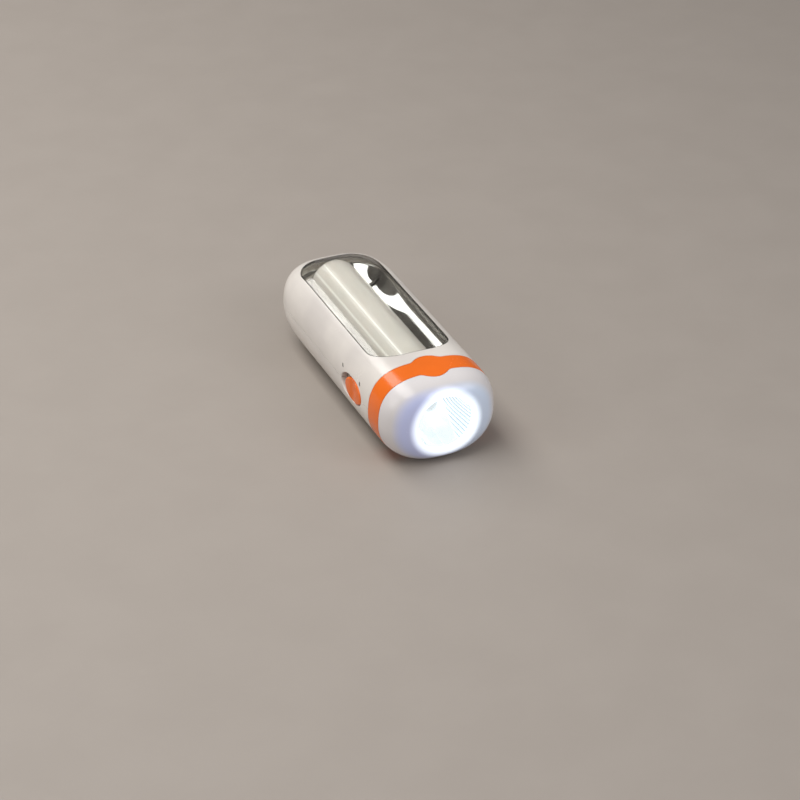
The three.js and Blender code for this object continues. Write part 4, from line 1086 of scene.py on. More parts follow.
@dataclass(frozen=True)
class CasingForm:
    """The rounded form that all outer pieces share: a section of two half ovals, with domed ends."""

    half_width: float = 36.3
    crown_height: float = 27.8
    belly_depth: float = 27.0
    crown_powers: Pair = (3.23, 2.58)  # across and up
    belly_powers: Pair = (2.49, 2.0)  # across and up
    front_dome: Triple = (-65.9, -29.1, 3.67)  # start, depth, power
    rear_dome: Triple = (47.4, 47.6, 3.22)  # start, depth, power
    fine_steps: int = 1200

    def even_places(self, curve: np.ndarray, count: int) -> np.ndarray:
        """Spreads samples over a curve by both its length and its turning.

        Args:
            curve: Fine points of the curve.
            count: Number of samples.

        Returns:
            The fractional index of each sample, first and last included.
        """
        steps = np.diff(curve, axis=0)
        length = np.hypot(steps[:, 0], steps[:, 1])
        heading = np.unwrap(np.arctan2(steps[:, 1], steps[:, 0]))
        turning = np.abs(np.append(0, np.diff(heading)))
        pace = length / length.sum() + turning / turning.sum()
        travelled = np.append(0, np.cumsum(pace))
        targets = np.linspace(0, travelled[-1], count)
        return np.interp(targets, travelled, np.arange(len(curve)))

    def section(self, angles: np.ndarray, inset: float) -> np.ndarray:
        """Gives the section's points at some angles.

        Args:
            angles: The angles, from +X over the top.
            inset: How far the section is drawn in.

        Returns:
            Points across and up.
        """
        cos, sin = np.cos(angles), np.sin(angles)
        upper = sin >= 0
        power_x, power_z = (np.where(upper, a, b) for a, b in zip(self.crown_powers, self.belly_powers))
        height = np.where(upper, self.crown_height, self.belly_depth) - inset
        x = (self.half_width - inset) * np.sign(cos) * np.abs(cos) ** (2 / power_x)
        return np.stack([x, height * np.sign(sin) * np.abs(sin) ** (2 / power_z)], axis=1)

    def profile(self, places: np.ndarray, inset: float) -> tuple[np.ndarray, np.ndarray]:
        """Gives place along the casing and scale of the section, from -1 at the front to 1 at the rear.

        Args:
            places: Angles along the two domes, a quarter turn each, the front's negative.
            inset: How far the form is drawn in.

        Returns:
            The places along Y and the scales.
        """
        along, scale = np.zeros_like(places), np.ones_like(places)
        for side, (start, depth, power) in ((-1, self.front_dome), (1, self.rear_dome)):
            mine = places * side >= 0
            angle = np.abs(places[mine])
            along[mine] = start + (depth - side * inset) * np.sin(angle) ** (2 / power)
            scale[mine] = np.clip(np.cos(angle), 0, 1) ** (2 / power)
        return along, scale

    def body(self, inset: float, around: int = 160, along: int = 150) -> Body:
        """Makes the whole form, drawn in by an inset.

        Args:
            inset: How far it is drawn in.
            around: Points round the section.
            along: Rings along the casing.

        Returns:
            The body.
        """
        turn = np.linspace(0, FULL_TURN, 4 * self.fine_steps + 1)
        angles = np.interp(
            self.even_places(self.section(turn, 0), around + 1)[:-1], np.arange(len(turn)), turn
        )
        rear = np.linspace(1e-9, QUARTER_TURN, self.fine_steps)
        run = np.concatenate([-rear[::-1], rear])
        place, scale = self.profile(run, 0)
        curve = np.stack([place, scale * self.half_width], axis=1)
        samples = np.interp(self.even_places(curve, along), np.arange(len(run)), run)
        place, scale = self.profile(samples, inset)
        outline = self.section(angles, inset)
        rings = np.zeros((along, around, 3))
        rings[:, :, 0] = scale[:, None] * outline[None, :, 0]
        rings[:, :, 1] = place[:, None]
        rings[:, :, 2] = scale[:, None] * outline[None, :, 1]
        return loft(rings)

    def slice(self, inset: float, y: Pair, **steps: int) -> Body:
        """Makes the form between two places along Y."""
        return combine(self.body(inset, **steps), Joining.KEEP, block(WIDE, y, TALL))


FORM = CasingForm()
WIDE = (-FORM.half_width - OVERRUN, FORM.half_width + OVERRUN)
LONG = (sum(FORM.front_dome[:2]) - OVERRUN, sum(FORM.rear_dome[:2]) + OVERRUN)
TALL = (-FORM.belly_depth - OVERRUN, FORM.crown_height + OVERRUN)
WALL = 2.2
COARSE = {"around": 96, "along": 80}


def within_wall() -> Body:
    """Makes the form that what joins the shells' walls from inside is kept in."""
    return FORM.body(WALL / 2, **COARSE)


def stand_cut() -> Body:
    """Makes the tool that cuts the flat that the torch rests on."""
    return block(WIDE, LONG, (TALL[0], -AXIS_HEIGHT))


def round_plan(half_width: float, y: Pair, corners: Pair, steps: int = 20) -> list[Pair]:
    """Gives a rectangle with round corners.

    Args:
        half_width: Half its width.
        y: Its two ends.
        corners: Corner radius at each end.
        steps: Points on each corner.

    Returns:
        The outline's points.
    """
    front, rear = corners
    centres = [
        (half_width - front, y[0] + front, front, -1), (half_width - rear, y[1] - rear, rear, 0),
        (rear - half_width, y[1] - rear, rear, 1), (front - half_width, y[0] + front, front, 2),
    ]
    return [
        (x + radius * math.cos(angle), along + radius * math.sin(angle))
        for x, along, radius, quarter in centres
        for angle in ((quarter + i / steps) * QUARTER_TURN for i in range(steps + 1))
    ]


def window_plan(grow: float, steps: int = 20) -> list[Pair]:
    """Gives the window's outline.

    Args:
        grow: How far it is grown.
        steps: Points on each corner.

    Returns:
        The outline's points.
    """
    half, front, rear, corner = WINDOW_PLAN
    return round_plan(half + grow, (front - grow, rear + grow), (corner + grow,) * 2, steps)


def shaft(height: float, outline: Sequence[Pair]) -> Body:
    """Makes a body that goes up past the crown from a height, with one outline seen from above."""
    return prism(Axis.Z, [(height, outline), (TALL[1], outline)])


@dataclass
class AccentBand:
    """Orange band round the casing, with an oval bulge at the top."""

    rear: float = -63.7
    front: float = -77.9
    thickness: float = 1.7
    reach: float = 4.3
    half_width: float = 8.9
    arc_share: float = 0.86
    steps: int = 64

    def bump(self, x: float) -> float:
        """Gives how far the bulge reaches at a place across the casing.

        Args:
            x: The place.

        Returns:
            Its share of the full reach.
        """
        share = abs(x) / self.half_width
        if share <= self.arc_share:
            return 1 - share ** 2
        run = 1 / self.arc_share - self.arc_share
        return (1 - self.arc_share ** 2) * max(0.0, 1 - (share - self.arc_share) / run) ** 2

    def plan(self, rear: float, front: float, rear_reach: float, front_reach: float) -> list[Pair]:
        """Gives the band's outline seen from above.

        Args:
            rear: Rear edge, away from the bulge.
            front: Front edge, away from the bulge.
            rear_reach: How far the bulge stands out of the rear edge.
            front_reach: How far it stands out of the front edge.

        Returns:
            The outline's points.
        """
        end = self.half_width / self.arc_share
        places = [WIDE[0], *np.linspace(-end, end, self.steps), WIDE[1]]
        near = [(x, front - front_reach * self.bump(x)) for x in places]
        far = [(x, rear + rear_reach * self.bump(x)) for x in reversed(places)]
        return near + far

    def upper_tool(self, rear: float, front: float, rear_reach: float, front_reach: float) -> Body:
        """Makes the tool for the bulge, above the parting line."""
        return shaft(Housing.seam[1], self.plan(rear, front, rear_reach, front_reach))

    def build(self) -> None:
        """Models the band and hands it over."""
        edges = (self.rear - GAP / 2, self.front + GAP / 2)
        reach = (self.front - self.reach - OVERRUN, self.rear + self.reach + OVERRUN)
        ring = FORM.slice(0, reach)
        combine(ring, Joining.CUT, FORM.body(self.thickness, **COARSE))
        plan = combine(block(WIDE, (edges[1], edges[0]), TALL), Joining.ADD,
                       self.upper_tool(*edges, self.reach, self.reach))
        combine(ring, Joining.KEEP, plan)
        combine(ring, Joining.CUT, stand_cut())
        hand_over(ring, "band_ring", "casing", "orange_shell", ORANGE, "accent_band")


@dataclass
class Housing:
    """The two shells: crown with the window's opening, belly with the screw wells."""

    seam: ClassVar[Pair] = (2.55, 2.85)
    neck: Pair = (-83.3, -57.0)
    neck_inset: Pair = (2.0, 4.0)  # outer and inner
    bulkhead: Pair = (-61.4, -59.6)
    bay_face: float = 33.0
    bay_radius: float = 50.5
    bush_radius: float = 5.2
    bush_seat: Pair = (5.9, 20.0)  # radius and inner end
    lamp_hole: float = 8.9
    band: AccentBand = field(default_factory=AccentBand)
    screw_places: tuple[Pair, ...] = ((30.2, -46.1), (-30.2, -15.0), (27.6, 73.0), (-27.6, 73.0))
    post_radius: float = 3.4
    post_top: float = 8.8
    rib_half: float = 0.8
    well_radius: float = 2.8
    well_top: float = -10.7
    hole_radius: float = 1.4
    hole_depth: float = 6.0

    def wall(self) -> Body:
        """Models the tube wall that both shells are cut from.

        Returns:
            The wall, with the neck, the bulkhead, the crank's bay and the switch's opening.
        """
        skin = FORM.slice(0, (self.band.rear + GAP / 2, LONG[1]))
        bay = rod(Axis.X, self.bay_radius, self.bay_face, WIDE[1], CRANK_AXIS, 192)
        combine(skin, Joining.CUT, bay, stand_cut())
        outer, inner = self.neck_inset
        start, end = self.neck
        combine(skin, Joining.ADD, FORM.slice(outer, (start, end + 2 * OVERRUN), **COARSE))
        hollow = FORM.slice(WALL, (end, LONG[1]), **COARSE)
        inner_bay = rod(Axis.X, self.bay_radius + WALL, self.bay_face - WALL, WIDE[1], CRANK_AXIS, 128)
        combine(hollow, Joining.CUT, inner_bay)
        nose = FORM.slice(inner, (LONG[0], end + OVERRUN), **COARSE)
        combine(skin, Joining.CUT, hollow, nose)
        plate = FORM.slice((outer + inner) / 2, self.bulkhead, **COARSE)
        combine(plate, Joining.CUT, rod(Axis.Y, self.lamp_hole, *LONG, (0, LENS_HEIGHT)))
        collar = combine(SlideSwitch().collar(), Joining.KEEP, within_wall())
        combine(skin, Joining.ADD, plate, collar)
        bush = rod(Axis.X, self.bush_radius, self.bay_face - 2 * WALL, FORM.half_width, CRANK_AXIS)
        seat_radius, seat_start = self.bush_seat
        seat = rod(Axis.X, seat_radius, seat_start, self.bay_face - WALL, CRANK_AXIS)
        return combine(skin, Joining.CUT, SlideSwitch().opening(), bush, seat)

    def fasten(self, crown: Body, belly: Body, x: float, y: float) -> None:
        """Gives the shells a post and a boss for one screw, and cuts its hole and its well.

        Args:
            crown: The upper shell.
            belly: The lower shell.
            x: The screw's place across.
            y: The screw's place along.
        """
        place, (low, high) = (x, y), self.seam
        span = sorted((x, math.copysign(FORM.half_width, x)))
        rib = block(tuple(span), (y - self.rib_half, y + self.rib_half), (high, self.post_top))
        post = rod(Axis.Z, self.post_radius, high, self.post_top, place, 48)
        combine(combine(post, Joining.ADD, rib), Joining.KEEP, within_wall())
        combine(crown, Joining.ADD, post)
        combine(crown, Joining.CUT, rod(Axis.Z, self.hole_radius, 0, high + self.hole_depth, place, 32))
        boss = rod(Axis.Z, self.post_radius, TALL[0], low, place, 48)
        combine(belly, Joining.ADD, combine(boss, Joining.KEEP, within_wall()))
        hole = rod(Axis.Z, self.hole_radius, TALL[0], high, place, 32)
        combine(belly, Joining.CUT, hole, rod(Axis.Z, self.well_radius, TALL[0], self.well_top, place, 48))

    def build(self) -> None:
        """Models both shells and hands them over."""
        wall = self.wall()
        crown = combine(twin(wall), Joining.KEEP, block(WIDE, LONG, (self.seam[1], TALL[1])))
        belly = combine(wall, Joining.KEEP, block(WIDE, LONG, (TALL[0], self.seam[0])))
        for x, y in self.screw_places:
            self.fasten(crown, belly, x, y)
        band = self.band
        bulge = combine(band.upper_tool(band.rear + GAP / 2, band.front, band.reach, 0),
                        Joining.CUT, FORM.body(band.thickness + GAP, **COARSE))
        combine(crown, Joining.CUT, shaft(WINDOW_FOOT, window_plan(GAP / 2)), bulge)
        hand_over(crown, "crown_moulding", "casing", "white_shell", WHITE, "upper_shell")
        hand_over(belly, "belly_moulding", "casing", "white_shell", WHITE, "lower_shell")


@dataclass
class TorchHead:
    """Lamp at the front: bezel, lens, seal, fluted bowl and lamp."""

    axis: ClassVar[Pair] = (0.0, LENS_HEIGHT)
    mouth: float = 17.2
    flare: Triple = (1.7, 3.5, 2.4)  # width, depth, power
    flare_end: float = 19.2
    lens: Triple = (18.6, -91.1, -89.1)  # radius, front, rear
    nose_wall: float = 1.5
    nose_inset: float = 0.02
    neck_front: float = -83.6
    bowl: Triple = (4.0, -87.6, -67.6)  # throat's radius, front, rear
    bowl_wall: float = 1.1
    bowl_layers: int = 28
    bowl_sides: int = 480
    rim: float = 1.0
    throat: float = 1.2
    mouth_overlap: float = 0.01
    rib_depth: float = 0.55
    rib_fade: float = 0.4
    lamp_dome: Pair = (1.8, -67.4)  # radius and base
    lamp_foot: Triple = (2.5, 0.2, 1.0)  # radius, soft edge, thickness
    band: AccentBand = field(default_factory=AccentBand)

    def bezel(self) -> None:
        """Models the bezel with its rounded mouth, its pocket and its collar."""
        radius, lens_front, _ = self.lens
        band = self.band
        edge = band.front - GAP / 2
        skin = combine(FORM.slice(0, (LONG[0], edge)), Joining.CUT, FORM.body(WALL, **COARSE))
        nose = rod(Axis.Y, radius + GAP + self.nose_wall, LONG[0], self.bowl[1] + self.rim + GAP, self.axis)
        combine(nose, Joining.KEEP, FORM.body(self.nose_inset, **COARSE))
        combine(skin, Joining.ADD, nose)
        neck = FORM.slice(band.thickness, (self.neck_front, band.rear), **COARSE)
        bulge = band.upper_tool(band.rear, edge, 0, band.reach)
        width, depth, power = self.flare
        flare = [(self.mouth + width * share ** power, lens_front - GAP - depth * share)
                 for share in (1 - i / 10 for i in range(11))]
        profile = [(0, LONG[0]), (self.flare_end, LONG[0]), *flare, (self.mouth, lens_front), (0, lens_front)]
        pocket = rod(Axis.Y, radius + GAP, lens_front - GAP, 0, self.axis)
        combine(skin, Joining.CUT, neck, bulge, lathe(Axis.Y, profile, self.axis), pocket, stand_cut())
        hand_over(skin, "bezel_moulding", "casing", "bezel_plastic", BEZEL, "front_bezel")

    def glass(self) -> None:
        """Models the lens, a disc with rounded rims."""
        radius, start, end = self.lens
        soft, bow = 0.4, 0.12
        profile = [(0, start), (radius - soft, start), (radius - bow, start + bow), (radius, start + soft),
                   (radius, end - soft), (radius - bow, end - bow), (radius - soft, end), (0, end)]
        disc = lathe(Axis.Y, profile, self.axis)
        hand_over(disc, "lens_disc", "casing", "clear_plastic", LENS, "torch_lens")

    def bowl_curve(self) -> list[Pair]:
        """Gives the bowl's inner curve.

        Returns:
            Radius and place along the axis of its points, from the throat to the mouth.
        """
        small, front, rear = self.bowl
        growth, depth = self.mouth ** 2 - small ** 2, rear - front
        shares = [i / self.bowl_layers for i in range(self.bowl_layers + 1)]
        return [(math.sqrt(small ** 2 + share * growth), rear - share * depth) for share in shares]

    def reflector(self) -> None:
        """Models the bowl with ribs in its left and right walls."""
        small, front, rear = self.bowl
        curve = self.bowl_curve()
        outside = [(radius + self.bowl_wall, along) for radius, along in reversed(curve)]
        shell = lathe(Axis.Y, [(0, front), *outside, (0, rear)], self.axis)
        combine(shell, Joining.ADD,
                rod(Axis.Y, self.lens[0], front, front + self.rim, self.axis),
                rod(Axis.Y, small + self.bowl_wall, rear - self.bowl_wall, rear + self.throat, self.axis))
        angles = even_angles(self.bowl_sides)
        wave = np.abs(np.sin(angles * RIBS / 2))
        layers = []
        for radius, along in curve:
            ribbed = np.clip((radius * np.abs(np.cos(angles)) - RIBBED_FROM) / self.rib_fade, 0, 1)
            layers.append((radius - self.rib_depth * ribbed * wave, along))
        layers[-1] = (layers[-1][0], front - self.mouth_overlap)
        combine(shell, Joining.CUT, fluted(layers, self.axis),
                rod(Axis.Y, small, rear - self.bowl_wall, rear + self.throat + OVERRUN, self.axis))
        hand_over(shell, "fluted_bowl", "casing", "chromed", BOWL, "torch_reflector")

    def lamp(self) -> None:
        """Models the lamp's dome on its base."""
        radius, base = self.lamp_dome
        foot, soft, thickness = self.lamp_foot
        dome = [(radius * math.sin(a), base - radius * math.cos(a)) for a in np.linspace(0, QUARTER_TURN, 14)]
        profile = [*dome, (foot - soft, base), (foot, base + soft), (foot, base + thickness),
                   (0, base + thickness)]
        piece = lathe(Axis.Y, profile, self.axis, 48)
        hand_over(piece, "lamp_dome", "casing", "lit_led", LED, "torch_led")

    def build(self) -> None:
        """Models what shows of the head and dresses the rest."""
        self.bezel()
        self.glass()
        self.reflector()
        self.lamp()
        # painted glow on the lens seal and the lamp's board
        dress(SEAL, "lens_seal")
        dress(LIT_STRIP, "torch_led_board")
        dress(ALUMINIUM, "heat_sink")


@dataclass
class Lantern:
    """Window in the top, with its chromed tray and its milky tube."""

    cover: Pair = (0.2, 2.2)  # outer and inner face under the skin
    corner_steps: int = 28
    tray_front: float = -56.0
    tray_floor: float = 8.0
    tray_half: float = 27.7
    tray_over: float = 0.3
    cove_width: float = 12.7
    cove_shapes: tuple[Pair, Pair] = ((5.5, 0.62), (8.6, 1.2))  # knee and steepness, front and rear
    cove_turn: Pair = (18.0, 52.0)  # where the front shape turns into the rear one
    cove_front: float = -64.0
    seat_gap: float = 0.25
    seat_lift: float = 0.03
    wall_foot: float = 0.6
    wall_lean: float = 0.27
    wall_top: float = 20.0
    sheet: float = 1.0
    tray_inset: float = 2.5
    tube: Quad = (15.3, -54.2, 79.8, 8.3)  # radius, front, rear, floor
    tube_end: float = 8.4
    tube_end_power: float = 4.2
    tube_wall: float = 1.3

    def lid(self) -> None:
        """Models the clear cover, flush with the crown."""
        outer, inner = self.cover
        plan = window_plan(-GAP / 2, self.corner_steps)
        lid = combine(FORM.body(outer), Joining.KEEP, shaft(WINDOW_FOOT, plan))
        combine(lid, Joining.CUT, FORM.body(inner))
        hand_over(lid, "window_lid", "casing", "clear_plastic", WINDOW, "window_cover")

    def floor_height(self, x: float, y: float, grow: float) -> float:
        """Gives the height of the tray's floor, a cove that gets steeper towards the rear.

        Args:
            x: Place across.
            y: Place along.
            grow: How far the cove is moved outwards.

        Returns:
            The height.
        """
        middle, half_length, corner = self.tray_plan(self.cove_front)
        across = abs(x) - (self.tray_half - corner)
        along = abs(y - middle) - (half_length - corner)
        inside = corner - math.hypot(max(across, 0), max(along, 0)) - min(max(across, along), 0)
        start, end = self.cove_turn
        share = min(1.0, max(0.0, (y - start) / (end - start)))
        share = share ** 2 * (3 - 2 * share)
        knee, steepness = (front + (rear - front) * share for front, rear in zip(*self.cove_shapes))
        reach = max(0.0, self.cove_width - inside - grow)
        return self.tray_floor + math.hypot(knee, steepness * reach) - knee

    def tray_plan(self, front: float) -> Triple:
        """Gives the tray's plan from a front end.

        Args:
            front: The front end.

        Returns:
            Its middle, half its length and its corner's radius.
        """
        half, _, rear, corner = WINDOW_PLAN
        rear += self.tray_over
        return (front + rear) / 2, (rear - front) / 2, corner + self.tray_half - half

    def tray_body(self, grow: float, drop: float) -> Body:
        """Makes the tray's outer or inner form: a coved floor in a wall that leans in towards the window.

        Args:
            grow: How far it is grown sideways.
            drop: How far its floor is let down.

        Returns:
            The body.
        """
        middle, half_length, corner = self.tray_plan(self.tray_front)
        foot = self.wall_foot
        wall = [(self.wall_lean * (height - foot), 0.0, height)
                for height in np.linspace(self.wall_top, foot, 12)[:-1]]
        fillet = [(foot * (1 - math.cos(a)), foot * (1 - math.cos(a)), foot * (1 - math.sin(a)))
                  for a in np.linspace(0, QUARTER_TURN, 9)]
        floor = [(inset, inset, 0.0) for inset in np.linspace(foot, self.cove_width + 0.4, 24)[1:]]
        rings = []
        for side, end, rise in wall + fillet + floor:
            turn = max(0.5, corner - max(side, end)) + grow
            reach = half_length + grow - end
            arcs = np.array(round_plan(
                self.tray_half - side + grow, (middle - reach, middle + reach), (turn, turn),
                self.corner_steps,
            )).reshape(4, -1, 2)
            right, left = (np.linspace(arcs[i, -1], arcs[i + 1, 0], 42)[1:-1] for i in (0, 2))
            outline = np.concatenate([arcs[0], right, arcs[1], arcs[2], left, arcs[3]])
            rings.append([(x, y, self.floor_height(x, y, grow) + rise - drop) for x, y in outline])
        return loft(np.array(rings))

    def tray(self) -> None:
        """Models the chromed tray."""
        seat = combine(self.half_tube(-self.seat_gap, self.tube[1] - self.seat_gap), Joining.KEEP,
                       block(WIDE, LONG, (self.tray_floor + self.seat_lift, TALL[1])))
        tray = combine(self.tray_body(self.sheet, self.sheet), Joining.CUT, self.tray_body(0, 0), seat)
        combine(tray, Joining.KEEP, FORM.body(self.tray_inset))
        hand_over(tray, "bright_tray", "casing", "chromed", CHROME, "lantern_reflector")

    def half_tube(self, inset: float, start: float) -> Body:
        """Makes the tube's form, whole, with an oval rear end.

        Args:
            inset: How far it is drawn in.
            start: Its front end.

        Returns:
            The body.
        """
        radius, _, rear, floor = self.tube
        end, reach, depth = rear - self.tube_end, radius - inset, self.tube_end - inset
        power = 2 / self.tube_end_power
        dome = [(reach * max(0.0, math.cos(a)) ** power, end + depth * math.sin(a) ** power)
                for a in np.linspace(0, QUARTER_TURN, 36)]
        return lathe(Axis.Y, [(0, start), (reach, start), *dome], (0, floor), 144)

    def diffuser(self) -> None:
        """Models the milky half tube."""
        front, floor = self.tube[1], self.tube[3]
        hollow = self.half_tube(self.tube_wall, front + self.tube_wall)
        tube = combine(self.half_tube(0, front), Joining.CUT, hollow)
        combine(tube, Joining.KEEP, block(WIDE, LONG, (floor, TALL[1])))
        hand_over(tube, "milky_tube", "casing", "milky_plastic", MILKY, "diffuser_tube")

    def build(self) -> None:
        """Models the lantern's pieces and dresses its board."""
        self.lid()
        self.tray()
        self.diffuser()
        dress(STRIP, "lantern_led_board")


@dataclass
class SlideSwitch:
    """Orange oval knob in a recess of the left side."""

    centre: Pair = (-40.9, 2.7)  # along and up
    half_size: Pair = (11.7, 7.1)  # along and up
    travel: float = 5.4
    clearance: float = 0.4
    base: float = -32.6
    face: float = -36.6
    crown: float = 1.0
    crown_shape: Pair = (0.87, 80.0)  # share of the rise, degrees of the arc
    scoop: Pair = (13.0, 0.9)  # radius and depth
    stem: Pair = (2.5, -30.3)  # half its side, inner end
    socket: Triple = (1.8, -35.2, -29.0)  # half its side, outer and inner end
    lip: Pair = (0.9, 1.3)  # width and depth
    opening_end: float = -32.3
    collar_wall: float = 1.0
    collar_reach: Pair = (-35.5, -32.5)

    def oval(self, travel: float, margin: float, steps: int = 96) -> list[Pair]:
        """Gives the knob's oval.

        Args:
            travel: How far it is lengthened rearwards.
            margin: How far it is grown.
            steps: Number of points.

        Returns:
            The outline's points.
        """
        (y, z), (length, height) = self.centre, self.half_size
        angles = [FULL_TURN * (i + 0.5) / steps for i in range(steps)]
        return [(y + travel * (math.cos(a) > 0) + (length + margin) * math.cos(a),
                 z + (height + margin) * math.sin(a)) for a in angles]

    def opening(self) -> Body:
        """Makes the tool for the opening, flared at the face for a rounded lip.

        Returns:
            The tool.
        """
        width, depth = self.lip
        shares = [(WIDE[0] - OVERRUN, 0.0)]
        shares += [(self.face + depth * i / 8, i / 8) for i in range(1, 9)]
        shares.append((self.opening_end, 1.0))
        return prism(Axis.X, [
            (x, self.oval(self.travel, self.clearance + width * (1 - share) ** 2)) for x, share in shares
        ])

    def collar(self) -> Body:
        """Makes the collar that runs from the shell's wall to the slide plate."""
        outline = self.oval(self.travel, self.clearance + self.collar_wall)
        return prism(Axis.X, [(x, outline) for x in self.collar_reach])

    def build(self) -> None:
        """Models the knob and dresses what lies behind it."""
        side = self.face + self.crown
        rise, turn = self.crown_shape
        stack = [(self.base, self.oval(0, 0)), (side, self.oval(0, 0))]
        stack += [
            (side - rise * self.crown * math.sin(angle), self.oval(0, self.crown * (math.cos(angle) - 1)))
            for angle in np.linspace(0, math.radians(turn), 16)[1:]
        ]
        knob = prism(Axis.X, stack)
        radius, depth = self.scoop
        reach = 2 * self.half_size[1]
        scoop = rod(Axis.Z, radius, self.centre[1] - reach, self.centre[1] + reach,
                    (self.face + depth - radius, self.centre[0]), 256)
        half, end = self.stem
        stem = block((self.base - OVERRUN, end), *((c - half, c + half) for c in self.centre))
        half, start, end = self.socket
        socket = block((start, end), *((c - half, c + half) for c in self.centre))
        combine(knob, Joining.ADD, stem)
        combine(knob, Joining.CUT, scoop, socket)
        hand_over(knob, "slide_button", "slider", "orange_shell", ORANGE, "switch_knob")
        dress(PLATE, "slide_plate")
        dress(DARK, "switch_lever")
        dress(ZINC, "switch_body")


# Crank


def cross_recess(
    axis: Axis, face: float, depth: float, centre: Pair, size: float, upwards: int = 1
) -> list[Body]:
    """Makes the two tapered tools that cut a cross into a screw's head.

    Args:
        axis: Axis of the screw, X or Z.
        face: Place of the head's face.
        depth: Depth of the recess.
        centre: Place of the screw's middle line.
        size: Length of each arm of the cross.
        upwards: 1 where the head faces up its axis, -1 where it faces down.

    Returns:
        The two tools.
    """
    tools = []
    thin, overlap, narrowing = size / 3.6, 0.4, 0.35
    for a, b in ((size, thin), (thin, size)):
        layers = []
        for share, taper in ((-overlap, 1.0), (1.0, 1 - narrowing)):
            outline = [(centre[0] + sa * a / 2 * taper, centre[1] + sb * b / 2 * taper)
                       for sa, sb in ((1, 1), (-1, 1), (-1, -1), (1, -1))]
            layers.append((face - upwards * share * depth, outline))
        tools.append(prism(axis, layers))
    return tools


